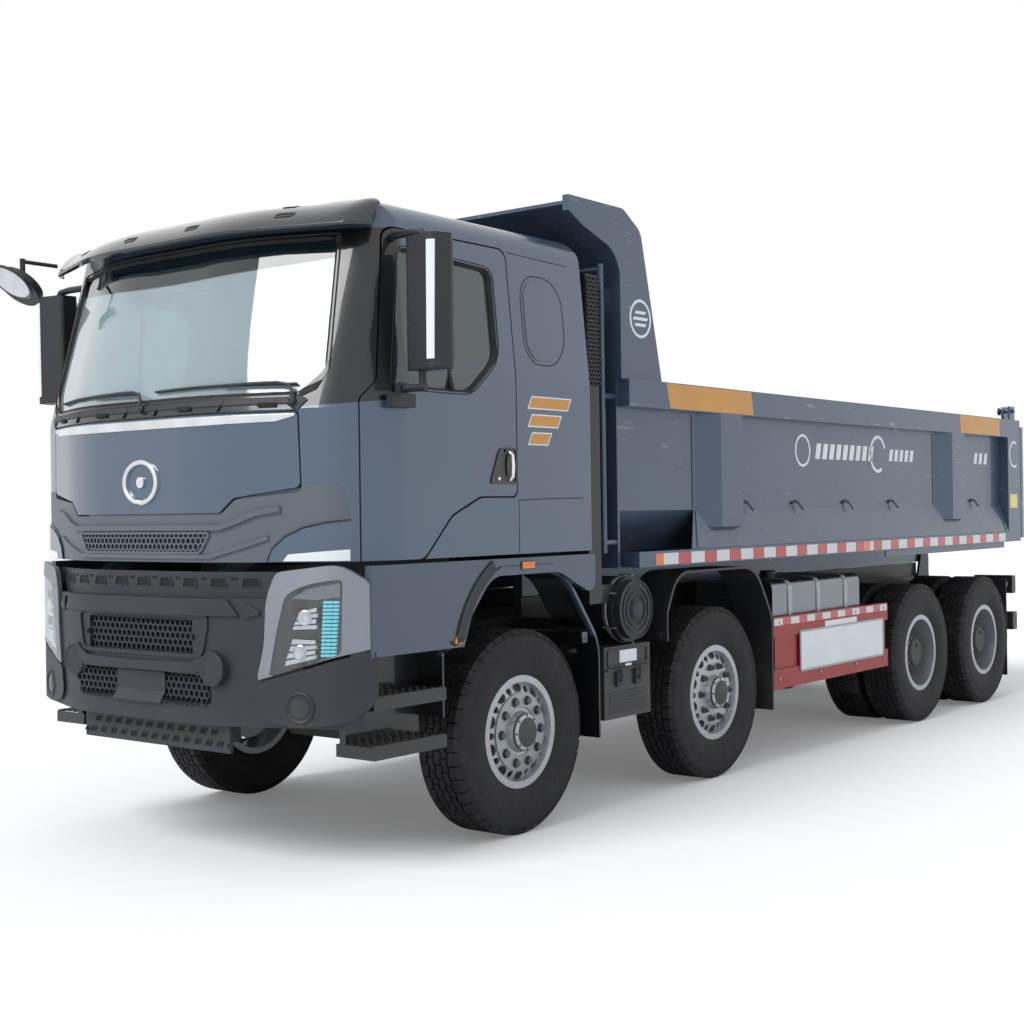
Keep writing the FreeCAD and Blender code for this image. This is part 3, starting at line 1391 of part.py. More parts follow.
def mudguards():
    """Bent guards over the second axle's wheels and flaps behind the last ones."""
    wall = D.fender_wall
    outer = D.side_plane
    guard = band(
        [
            (AXLE_2 - D.guard_reach, D.rail_top - 140),
            (AXLE_2 - D.guard_reach, D.rail_top + 20, 100),
            (AXLE_2 - D.guard_reach + 120, D.fender_top - 150, 200),
            (AXLE_2 + D.guard_reach - 220, D.fender_top - 150, 260),
            (AXLE_2 + D.guard_reach, D.rail_top - 90, 260),
            (AXLE_2 + D.guard_reach, D.mudguard_foot),
        ],
        wall,
        (D.guard_inner, outer),
    )
    stays = []
    for near, far, low in (
        (AXLE_2 + D.guard_reach, AXLE_2 + D.guard_reach + 40, D.rail_top - 240),
        (AXLE_2 - D.guard_reach - 40, AXLE_2 - D.guard_reach, D.rail_top - 120),
    ):
        behind = far.value > AXLE_2.value
        tongue = (near + wall, far) if behind else (near, far - wall)
        stays.append(block((D.rail_half_width, D.guard_inner), (near, far), (low, low + 40)))
        stays.append(block((D.guard_inner, outer - 40), tongue, (low, low + 40)))
    flap_y = AXLE_4 + D.tyre_radius + 30
    flap = block((D.drive_track - 480, D.side_plane), (flap_y, flap_y + 8), (D.flap_foot, D.rail_top - 20))
    arm = block(
        (D.rail_half_width + D.hinge_plate, D.side_plane),
        (flap_y + 8, flap_y + 38),
        (D.rail_top - 90, D.rail_top - 50),
    )
    label(both_sides(group(fuse(guard, *stays), fuse(flap, arm))), "mudguards")


# ---------------------------------------------------------------- side equipment

def side_equipment():
    outer = D.side_plane
    rail = D.rail_half_width
    cylinder_y = AXLE_1 + 1010
    stack_foot = D.cleaner_up + 50
    stack_inner = outer - 225
    plate = (D.cleaner_inner - 10, D.cleaner_inner + 10)
    can = fuse(
        rod("X", (cylinder_y, D.cleaner_up), (D.cleaner_inner, outer - 40), D.cleaner_radius),
        rod("X", (cylinder_y, D.cleaner_up), (outer - 40, outer), D.cleaner_radius - 20),
        block((rail, D.cleaner_inner), (cylinder_y - 60, cylinder_y + 60), (D.rail_top - 120, D.rail_top)),
        block(plate, (cylinder_y - 120, cylinder_y + 120), (D.rail_top - 120, D.rail_top + 160)),
        block((stack_inner, outer - 30), (CAB_REAR + 50, CAB_REAR + 170), (stack_foot, D.stack_top)),
        block((stack_inner, outer - 60), (CAB_REAR + 100, cylinder_y), (stack_foot, stack_foot + 100)),
    )
    label(can, "air_cleaner")
    shelf = (D.rail_top - 240, D.rail_top - 160)
    box = fuse(
        block((D.box_inner, outer - 5), (AXLE_1 + 690, AXLE_1 + 1160), (D.box_foot, D.box_top)),
        block((rail, D.box_inner), (AXLE_1 + 760, AXLE_1 + 1090), shelf),
    )
    label(box, "battery_box")
    tank = fuse(
        prism(
            "Y",
            [
                (D.tank_inner, D.tank_foot, 60),
                (outer - 60, D.tank_foot, 60),
                (outer - 60, D.tank_top, 60),
                (D.tank_inner, D.tank_top, 60),
            ],
            (AXLE_2 + 760, AXLE_2 + 2100),
        ),
        block((rail, D.tank_inner), (AXLE_2 + 900, AXLE_2 + 960), (D.rail_top - 260, D.rail_top - 20)),
        block((rail, D.tank_inner), (AXLE_2 + 1900, AXLE_2 + 1960), (D.rail_top - 260, D.rail_top - 20)),
    )
    label(tank, "fuel_tank")
    silencer = fuse(
        block(
            (60 - outer, -D.silencer_inner),
            (AXLE_1 + 700, AXLE_1 + 1180),
            (D.silencer_foot, D.silencer_top),
        ),
        block((-D.silencer_inner, -rail), (AXLE_1 + 800, AXLE_1 + 1080), shelf),
    )
    label(silencer, "exhaust_silencer")
    guard_rear = AXLE_3 - D.tyre_radius - 50
    boards = (D.side_guard_foot, D.side_guard_foot + D.side_guard_rise)
    guard = [
        block((outer - 40, outer), (AXLE_2 + 660, guard_rear), (low, low + D.side_guard_board))
        for low in boards
    ]
    web = (boards[0] + D.side_guard_board, boards[1])
    guard.append(block((outer - 34, outer - 14), (AXLE_2 + 700, guard_rear - 20), web))
    stay_places = (AXLE_2 + 700, guard_rear - 60)
    stays = [
        block((rail, outer - 40), (place, place + 40), (D.rail_top - 280, D.rail_top - 220))
        for place in stay_places
    ]
    drops = [
        block((outer - 80, outer - 40), (place, place + 40), (D.side_guard_foot + 10, D.rail_top - 160))
        for place in stay_places
    ]
    one_side = fuse(*guard, *stays, *drops)
    label(both_sides(one_side), "side_guards")


def rear_end():
    """The underrun bar on its brackets and the tail lamps beside it."""
    end = AXLE_4 + D.rail_rear
    half = D.side_plane - 15
    foot, lamp_foot = D.underrun_foot, D.tail_lamp_foot
    bar = block((-half, half), (end + 30, end + 130), (foot, foot + D.underrun_height))
    hanger = block((D.rail_half_width - 30, D.rail_half_width), (end, end + 30), (foot + 30, D.rail_top - 20))
    lamp = block((D.tail_lamp_half, half + 10), (end - 10, end + 60), (lamp_foot, lamp_foot + 160))
    stay = block(
        (D.rail_half_width, D.tail_lamp_half + 40), (end - 40, end - 10), (lamp_foot + 30, lamp_foot + 90)
    )
    one_side = fuse(hanger, lamp, stay)
    label(fuse(bar, one_side, mirror(one_side)), "rear_underrun")


def engine():
    """One plain block with the gearbox behind it."""
    block_half = D.rail_half_width - D.rail_flange - 10
    sump = D.engine_foot
    motor = block((-block_half, block_half), (AXLE_1 - 900, AXLE_1 + 330), (sump, D.cab_floor - 40))
    box = block((-260, 260), (AXLE_1 + 330, GEARBOX_REAR), (sump - 10, sump + 450))
    mount = block(
        (block_half, D.rail_half_width - D.rail_wall),
        (AXLE_1 - 500, AXLE_1 - 400),
        (D.rail_top - 200, D.rail_top - 80),
    )
    label(fuse(motor, box, mount, mirror(mount)), "engine")


# ---------------------------------------------------------------- bed

def bed_tub():
    """The welded tub: bent floor and walls, rails, ribs, posts, crossmembers and sills."""
    wall = D.bed_wall
    out, fold, low = BED_WALL_HALF, D.bed_fold, D.bed_floor_foot
    section = [
        (out, D.bed_rail_foot),
        (out, fold),
        (D.bed_floor_half, low),
        (-D.bed_floor_half, low),
        (-out, fold),
        (-out, D.bed_rail_foot),
        (-(out - wall), D.bed_rail_foot),
        (-(out - wall), fold + 5),
        (-(D.bed_floor_half - 8), low + wall),
        (D.bed_floor_half - 8, low + wall),
        (out - wall, fold + 5),
        (out - wall, D.bed_rail_foot),
    ]
    tub = prism("Y", section, (BED_FRONT + 20, BED_REAR))
    edge = D.half_width
    rail = block((edge - D.rail_depth, edge), (BED_FRONT + 20, BED_REAR), (D.bed_rail_foot, D.bed_rail_top))
    under = block((edge - 80, edge), (BED_FRONT + 100, BED_REAR), (D.bed_under_rail, low))
    ribs = [
        prism(
            "Z",
            [(out, start), (edge, start + 190, 20), (edge, start + 460), (out, start + 530)],
            (fold - 110, D.bed_rail_foot),
        )
        for start in (AXLE_1 + 1760, AXLE_1 + 5500)
    ]
    post = block((out, edge), (BED_REAR - 300, BED_REAR), (low, D.bed_rail_foot))
    crossers = []
    for share in (0, 0.2, 0.4, 0.6, 0.8, 1):
        place = BED_FRONT + 100 + (BED_REAR - BED_FRONT - 180) * share
        crossers.append(block((-(edge - 80), edge - 80), (place, place + 80), (D.bed_under_rail, low)))
    middle = D.rail_half_width - D.rail_flange / 2
    sill = cut(
        block((middle - 35, middle + 35), (BED_FRONT + 60, TIP_Y + 60), (D.bed_sill_foot, D.bed_under_rail)),
        rod("X", (TIP_Y, D.tip_hinge_up), (middle - 60, middle + 60), D.tip_pin + D.pin_fit),
    )
    ear = block((out + 20, out + 40), (GATE_Y - 60, GATE_Y + 60), (D.bed_rail_top, D.gate_pin_up + 40))
    ear = cut(ear, rod("X", (GATE_Y, D.gate_pin_up), (out, edge), D.gate_pin + D.pin_fit))
    one_side = [rail, under, *ribs, post, sill, ear]
    label(fuse(tub, *one_side, *[mirror(piece) for piece in one_side], *crossers), "bed_tub")


def bed_front():
    """The bulkhead that bends forward into the canopy, its cheeks, the ladder and the ram's ears."""
    wall = D.bulkhead
    out = BED_WALL_HALF
    face, lip, top = BED_FRONT, AXLE_1 + D.canopy_front, D.canopy_top
    sheet = prism(
        "X",
        [
            (face, D.bed_under_rail),
            (face + wall, D.bed_under_rail),
            (face + wall, top - 270, 220),
            (lip, top - 30),
            (lip, top - 50),
            (face, top - 290, 200),
        ],
        (-out, out),
    )
    cheek = prism(
        "X",
        [
            (face, D.bed_rail_top),
            (face, top - 270, 200),
            (lip + 130, top - 150, 60),
            (lip, top - 85),
            (lip, top),
            (face + 40, top, 90),
            (face + 220, top - 110, 110),
            (face + 430, D.bed_rail_top),
        ],
        (out, out + D.canopy_side),
    )
    tube = D.ladder_tube
    ladder_y = face - 110
    ladder_x = (out - 320, out - 20)
    stiles = [
        rod("Z", (x, ladder_y), (D.bed_floor_foot, top - 330), tube)
        for x in ladder_x
    ]
    rungs = [
        rod("X", (ladder_y, D.bed_floor_foot + 60 + 390 * step), ladder_x, tube) for step in range(5)
    ]
    stays = [
        rod("Y", (x, z), (ladder_y, face), tube)
        for x in ladder_x
        for z in (D.bed_floor_foot + 60, D.bed_rail_top - 100)
    ]
    ear_low, ear_high = D.ram_eye_up - 110, D.ram_eye_up + 110
    ear = block(
        (D.ram_cover_radius + 20, D.ram_cover_radius + 40), (RAM_Y - 60, face), (ear_low, ear_high)
    )
    label(fuse(sheet, cheek, mirror(cheek), *stiles, *rungs, *stays, ear, mirror(ear)), "bed_front")


def tailgate():
    """A ribbed gate hung from two pins above the bed."""
    out = D.half_width
    rear, depth = REAR, D.gate_depth
    skin_plate = block((-out, out), (rear - depth, rear - depth + 25), (D.gate_foot, D.gate_top))
    ribs = [
        block((-out, out), (rear - depth + 25, rear), (low, low + 100))
        for low in (D.gate_foot, D.gate_top - 100, (D.gate_foot + D.gate_top) / 2 - 50)
    ]
    posts = [
        block((x, x + 100), (rear - depth + 25, rear), (D.gate_foot, D.gate_top))
        for x in (-out, -(out / 3) - 50, out / 3 - 50, out - 100)
    ]
    arm = prism(
        "X",
        [
            (GATE_Y - 40, D.gate_pin_up + 40, 30),
            (GATE_Y - 40, D.gate_pin_up - 40, 30),
            (rear - depth, D.gate_top - 60),
            (rear, D.gate_top - 60),
            (rear, D.gate_pin_up + 40, 60),
        ],
        (BED_WALL_HALF - 50, BED_WALL_HALF - 26),
    )
    pin = rod("X", (GATE_Y, D.gate_pin_up), (BED_WALL_HALF - 50, BED_WALL_HALF + 60), D.gate_pin)
    label(fuse(skin_plate, *ribs, *posts, arm, mirror(arm), pin, mirror(pin)), "tailgate")


# ---------------------------------------------------------------- the whole lorry

for side_name, side in SIDES:
    for row, station in STEER_AXLES:
        steered_wheel(row, side_name, side, station)
    for row, station in DRIVE_AXLES:
        twin_wheel(row, side_name, side, station)
for row, station in STEER_AXLES:
    hand = knuckle(station)
    label(hand, f"knuckle_{row}_left")
    label(mirror(hand), f"knuckle_{row}_right")
    label(track_rod(station), f"track_rod_{row}")
label(group(*[beam(station) for row, station in STEER_AXLES]), "steer_axles")
label(fuse(*[drive_axle(station) for row, station in DRIVE_AXLES], *propeller_shafts()), "drive_axles")
label(group(*[springs(station) for row, station in STEER_AXLES + DRIVE_AXLES]), "leaf_springs")
label(frame(), "chassis_frame")
ram_stages()
cab()
cab_fittings()
steering_wheel()
front_end()
front_fenders()
mudguards()
side_equipment()
rear_end()
engine()
bed_tub()
bed_front()
tailgate()


# ---------------------------------------------------------------- writing

def failures(feature):
    """What is wrong with an object after the recompute."""
    faults = [state for state in feature.State if state in ("Invalid", "Error")]
    shape = getattr(feature, "Shape", None)
    if feature in SUBPARTS and (shape is None or shape.isNull() or not shape.isValid()):
        faults.append("bad shape")
    return faults


document.recompute()
broken = {feature.Label: failures(feature) for feature in document.Objects if failures(feature)}
if broken:
    raise RuntimeError(f"objects that failed: {broken}")
os.makedirs("parts", exist_ok=True)
for feature in SUBPARTS:
    feature.Shape.exportStep(f"parts/{feature.Label}.step")
print(f"{len(SUBPARTS)} sub-parts")
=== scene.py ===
from math import cos, hypot, pi, radians, sin, tau

import bmesh
import bpy
from bpy.props import FloatProperty, FloatVectorProperty, IntProperty, PointerProperty
from bpy.types import Operator, Panel, PropertyGroup
from mathutils import Matrix, Vector
from mathutils.bvhtree import BVHTree


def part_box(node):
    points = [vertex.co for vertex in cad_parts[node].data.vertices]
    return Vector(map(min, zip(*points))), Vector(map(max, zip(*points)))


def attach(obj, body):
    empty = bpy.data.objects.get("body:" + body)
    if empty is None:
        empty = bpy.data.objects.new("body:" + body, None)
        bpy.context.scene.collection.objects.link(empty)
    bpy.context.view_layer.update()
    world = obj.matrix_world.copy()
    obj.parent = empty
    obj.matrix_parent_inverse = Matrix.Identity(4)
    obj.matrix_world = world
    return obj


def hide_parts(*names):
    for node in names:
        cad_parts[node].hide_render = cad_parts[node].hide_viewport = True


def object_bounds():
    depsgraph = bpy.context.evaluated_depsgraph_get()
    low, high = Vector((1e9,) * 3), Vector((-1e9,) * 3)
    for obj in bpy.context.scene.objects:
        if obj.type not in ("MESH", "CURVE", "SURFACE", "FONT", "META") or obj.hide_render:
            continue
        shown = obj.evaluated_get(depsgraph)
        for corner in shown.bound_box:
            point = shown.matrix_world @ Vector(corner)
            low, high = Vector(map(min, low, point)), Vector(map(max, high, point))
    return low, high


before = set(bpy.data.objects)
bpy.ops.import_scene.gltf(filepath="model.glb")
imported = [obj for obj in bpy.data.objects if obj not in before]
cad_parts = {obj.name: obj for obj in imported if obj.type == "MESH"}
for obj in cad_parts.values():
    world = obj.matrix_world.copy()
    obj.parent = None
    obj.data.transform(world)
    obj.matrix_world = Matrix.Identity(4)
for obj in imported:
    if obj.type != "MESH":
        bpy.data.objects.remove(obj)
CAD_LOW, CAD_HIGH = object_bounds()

bl_info = {
    "name": "Four-axle dump truck",
    "version": (1, 0, 0),
    "blender": (4, 5, 0),
    "location": "3D View > Sidebar > Truck",
    "description": "Dresses the dump truck's frame with its panels, wheels, lamps, guards and seats",
    "category": "Object",
}

# the frame's own places, in metres: +X is the truck's left, +Y its rear
SIDES = (("left", 1), ("right", -1))
AXLES = {"front": -2.885, "second": -0.885, "third": 2.165, "fourth": 3.515}
TWIN_ROWS = ("third", "fourth")
WHEEL_HEIGHT = 0.542
LONE_WHEEL = 1.025
TWIN_WHEELS = (1.100, 0.770)


# ---------------------------------------------------------------- finishes


def tint(red, green, blue):
    """A screen colour as the share of light that a surface of it returns."""
    return tuple((c / 255) ** 2.2 for c in (red, green, blue)) + (1.0,)


class Signal:
    """A value that changes over a surface. Arithmetic on it adds Math nodes."""

    def __init__(self, nodes, socket):
        self.nodes, self.socket = nodes, socket

    def maths(self, operation, first, second=0.0):
        return self.nodes.add("ShaderNodeMath", {"operation": operation}, {0: first, 1: second})

    def __add__(self, other):
        return self.maths("ADD", self, other)

    def __sub__(self, other):
        return self.maths("SUBTRACT", self, other)

    def __rsub__(self, other):
        return self.maths("SUBTRACT", other, self)

    def __mul__(self, other):
        return self.maths("MULTIPLY", self, other)

    def __pow__(self, other):
        return self.maths("POWER", self, other)

    __radd__, __rmul__ = __add__, __mul__

    def between(self, low, high):
        """0 below low, 1 above high, and smooth between them."""
        return self.nodes.add(
            "ShaderNodeMapRange",
            {"interpolation_type": "SMOOTHSTEP"},
            {"Value": self, "From Min": low, "From Max": high},
        )


class Nodes:
    """A node tree, with one way to add a node and one to feed a socket."""

    def __init__(self, tree):
        self.tree = tree

    def add(self, kind, settings=None, sockets=None, out=0):
        """A new node's output: its settings first, then its sockets."""
        node = self.tree.nodes.new(kind)
        for key, value in (settings or {}).items():
            setattr(node, key, value)
        for key, value in (sockets or {}).items():
            self.feed(node.inputs[key], value)
        return Signal(self, node.outputs[out])

    def feed(self, socket, value):
        if isinstance(value, Signal):
            self.tree.links.new(value.socket, socket)
        else:
            socket.default_value = value


class Finish(Nodes):
    """A material: its Principled shader, and the nodes that feed it."""

    def __init__(self, name, **sockets):
        self.material = bpy.data.materials.new(name)
        self.material.use_nodes = True
        super().__init__(self.material.node_tree)
        self.shader = self.tree.nodes["Principled BSDF"]
        self.place = self.add("ShaderNodeTexCoord", out="Object")
        self.set(**sockets)

    def set(self, **sockets):
        """Feeds the shader: coat_weight stands for its socket Coat Weight."""
        for key, value in sockets.items():
            name = key.replace("_", " ").title().replace("Ior", "IOR")
            self.feed(self.shader.inputs[name], value)
        return self

    def noise(self, scale, detail=3.0, stretch=(1, 1, 1)):
        """Cloudy variation from about 0.3 to 0.7, with about scale patches in a metre."""
        where = self.add("ShaderNodeVectorMath", {"operation": "MULTIPLY"}, {0: self.place, 1: stretch})
        return self.add("ShaderNodeTexNoise", {}, {"Vector": where, "Scale": scale, "Detail": detail})

    def along(self, axis):
        return self.add("ShaderNodeSeparateXYZ", {}, {0: self.place}, axis)

    def upward(self):
        """1 where a surface faces the sky, 0 where it stands upright."""
        normal = self.add("ShaderNodeNewGeometry", out="Normal")
        return self.add("ShaderNodeSeparateXYZ", {}, {0: normal}, "Z").between(0.2, 0.9)

    def mixed(self, share, first, second, way="MIX"):
        return self.add(
            "ShaderNodeMix", {"data_type": "RGBA", "blend_type": way}, {0: share, 6: first, 7: second}, 2
        )

    def bump(self, height, distance):
        """Relief of the given depth in metres."""
        return self.set(normal=self.add("ShaderNodeBump", {}, {"Height": height, "Distance": distance}))


def shaded(colour, by):
    """A colour made darker or lighter."""
    return tuple(min(1.0, c * by) for c in tuple(colour)[:3]) + (1.0,)


def road_dust(finish, colour, top, amount=0.55):
    """Dust over a colour: thick low down, thin above the height top, and on ledges."""
    low = 1 - finish.along("Z").between(0.25, top)
    cloud = finish.noise(5.0, 5.0).between(0.38, 0.7)
    share = (low * amount + finish.upward() * 0.08) * (cloud * 0.8 + 0.2)
    return finish.mixed(share, colour, tint(124, 121, 115)), share


def screen_posts(finish):
    """1 on the posts beside the windscreen and the strip of door behind them, which are black."""
    height, back = finish.along("Z"), finish.along("Y")
    rear = 1 - (back - (height - 2.3) * 0.13).between(-3.902, -3.898)
    sill = (height - (back + 4.45) * 0.10).between(2.188, 2.192)
    head = 1 - height.between(3.062, 3.066)
    return rear * sill * head


def steps_and_liner(finish):
    """1 on the steps and behind the wing's outer panel, which are bare plastic."""
    beside = (finish.along("X") ** 2) ** 0.5
    return 1 - beside.between(1.168, 1.174) * finish.along("Z").between(0.995, 1.005)


def body_paint(name, colour, gloss, dust, scuffs, black=None):
    """Two-stage metallic paint with flake, soft waviness, dust and, if asked, load scuffs and black parts."""
    finish = Finish(name, coat_weight=gloss, coat_roughness=0.06, coat_ior=1.5)
    flake = finish.noise(900.0, 1.0).between(0.35, 0.72)
    cloud = finish.noise(1.3, 4.0).between(0.3, 0.7)
    shade = finish.mixed(cloud * 0.3, tuple(colour), shaded(colour, 1.18))
    shade = finish.mixed(flake * 0.14, shade, shaded(colour, 1.9))
    shade, share = road_dust(finish, shade, dust, 0.2)
    if scuffs:
        scratch = finish.noise(42.0, 6.0, (1.0, 0.12, 1.0)).between(0.62, 0.7)
        rub = scratch * finish.noise(2.2).between(0.45, 0.62)
        shade = finish.mixed(rub * scuffs, shade, tint(150, 152, 152))
    if black:
        shade = finish.mixed(black(finish), shade, tint(28, 30, 33))
    finish.set(base_color=shade, metallic=0.42 - share * 0.4,
               roughness=finish.noise(30.0) * 0.12 + share * 0.4 + 0.3)
    return finish.bump(finish.noise(14.0, 2.0) + finish.noise(260.0, 1.0) * 0.05, 0.0011).material


def grained_plastic(name, colour, rough, grain, dust=0.9):
    """Moulded plastic with a fine leather grain and a little dust in it."""
    finish = Finish(name)
    cells = finish.add("ShaderNodeTexVoronoi", {"feature": "SMOOTH_F1"},
                       {"Vector": finish.place, "Scale": grain})
    cloud = finish.mixed(finish.noise(3.0) * 0.4, colour, shaded(colour, 1.4))
    shade, share = road_dust(finish, cloud, dust, 0.2)
    finish.set(base_color=shade, roughness=finish.noise(60.0) * 0.2 + share * 0.25 + rough)
    return finish.bump(cells, 0.0004).material


def gloss_plastic(name, colour, rough=0.12):
    """Shiny moulding with faint swirls from washing."""
    finish = Finish(name, coat_weight=0.5, coat_roughness=0.04)
    swirl = finish.noise(55.0, 4.0, (1.0, 1.0, 0.2)).between(0.45, 0.7)
    finish.set(
        base_color=finish.mixed(finish.noise(2.0) * 0.6, colour, shaded(colour, 1.6)),
        roughness=swirl * 0.12 + rough,
    )
    return finish.bump(finish.noise(10.0, 2.0), 0.0006).material


def tinted_glass(name, colour, through, rough=0.02, band=False, coat=0.6):
    """Sheet glass with a light film of dust and, if asked, a dark band along its top."""
    finish = Finish(name, transmission_weight=through, ior=1.5, coat_weight=coat, coat_roughness=0.01)
    film = finish.noise(7.0, 5.0).between(0.35, 0.8)
    shade = finish.mixed(film * 0.25, colour, shaded(colour, 0.8))
    if band:
        level = finish.along("Z") - finish.along("X") ** 2 * 0.06
        shade = finish.mixed(level.between(2.862, 2.872), shade, tint(44, 62, 66))
    finish.set(base_color=shade, roughness=film * 0.05 + rough)
    return finish.material


def bare_metal(name, colour, rough, brushed=(1, 1, 1), scale=60.0, metallic=0.95, dust=0.5, relief=0.0003):
    """Cast, brushed or plated metal; brushed stretches its marks along an axis."""
    finish = Finish(name)
    marks = finish.noise(scale, 5.0, brushed)
    shade, share = road_dust(
        finish, finish.mixed(marks.between(0.3, 0.7), shaded(colour, 0.9), shaded(colour, 1.06)), dust, 0.2
    )
    finish.set(base_color=shade, metallic=metallic - share * 0.7, roughness=marks * 0.22 + share * 0.4 + rough)
    return finish.bump(marks, relief).material


def plain_paint(name, colour, rough=0.4, dust=0.9, amount=0.22):
    """Single-stage paint or film with orange peel, fading and dust."""
    finish = Finish(name, coat_weight=0.25, coat_roughness=0.15)
    fade = finish.noise(4.0, 4.0).between(0.3, 0.75)
    shade, share = road_dust(finish, finish.mixed(fade * 0.3, colour, shaded(colour, 1.35)), dust, amount)
    finish.set(base_color=shade, roughness=finish.noise(80.0) * 0.15 + share * 0.3 + rough)
    return finish.bump(finish.noise(160.0, 2.0), 0.0003).material


def beaded_film(name, colour):
    """Reflective film: fine diamond cells under a clear face."""
    finish = Finish(name, coat_weight=0.7, coat_roughness=0.05)
    cells = finish.add("ShaderNodeTexVoronoi", {"feature": "DISTANCE_TO_EDGE"},
                       {"Vector": finish.place, "Scale": 190.0})
    share = cells.between(0.0, 0.12)
    shade, dusty = road_dust(finish, finish.mixed(share, shaded(colour, 0.72), shaded(colour, 1.15)), 0.8, 0.15)
    finish.set(base_color=shade, roughness=0.3 + dusty * 0.4)
    return finish.bump(cells, 0.0003).material


def rubber(name, colour, ribbed):
    """Tyre or sealing rubber: ribbed adds a tyre's rings round the X axis."""
    finish = Finish(name)
    relief = finish.noise(120.0, 4.0) * 0.4
    cloud = finish.noise(9.0, 5.0).between(0.4, 0.75)
    worn = cloud * 0.15
    if ribbed:
        radius = (finish.along("Y") ** 2 + finish.along("Z") ** 2) ** 0.5
        rings = radius.maths("SINE", radius * 900.0)
        relief = relief + rings * (radius.between(0.43, 0.44) * (1 - radius.between(0.475, 0.485))) * 0.5
        worn = cloud * (radius.between(0.47, 0.54) * 0.14 + 0.10)
    finish.set(
        base_color=finish.mixed(worn, colour, tint(84, 84, 86)), roughness=finish.noise(40.0) * 0.2 + 0.62
    )
    return finish.bump(relief, 0.0008).material


def woven_cloth(name, colour):
    """Seat cloth: a fine over-and-under weave with a soft sheen."""
    finish = Finish(name, sheen_weight=0.4, sheen_roughness=0.5)
    across, up = finish.along("X") + finish.along("Y"), finish.along("Z") + finish.along("Y")
    weave = across.maths("SINE", across * 3200.0) * across.maths("SINE", up * 3200.0)
    finish.set(
        base_color=finish.mixed(weave * 0.5 + finish.noise(6.0) * 0.4, colour, shaded(colour, 1.8)),
        roughness=finish.noise(90.0) * 0.1 + 0.82,
    )
    return finish.bump(weave, 0.0006).material


def lit_lens(name, colour, glow):
    """A lamp's own coloured face, with fluting and a faint glow."""
    finish = Finish(name, coat_weight=0.8, coat_roughness=0.03, emission_strength=glow)
    flute = finish.along("Z").maths("SINE", finish.along("Z") * 700.0) * 0.5 + 0.5
    finish.set(
        base_color=finish.mixed(flute * 0.5, colour, shaded(colour, 0.6)),
        emission_color=colour,
        roughness=finish.noise(30.0) * 0.1 + 0.12,
    )
    return finish.bump(flute, 0.0008).material


FINISHES = {}


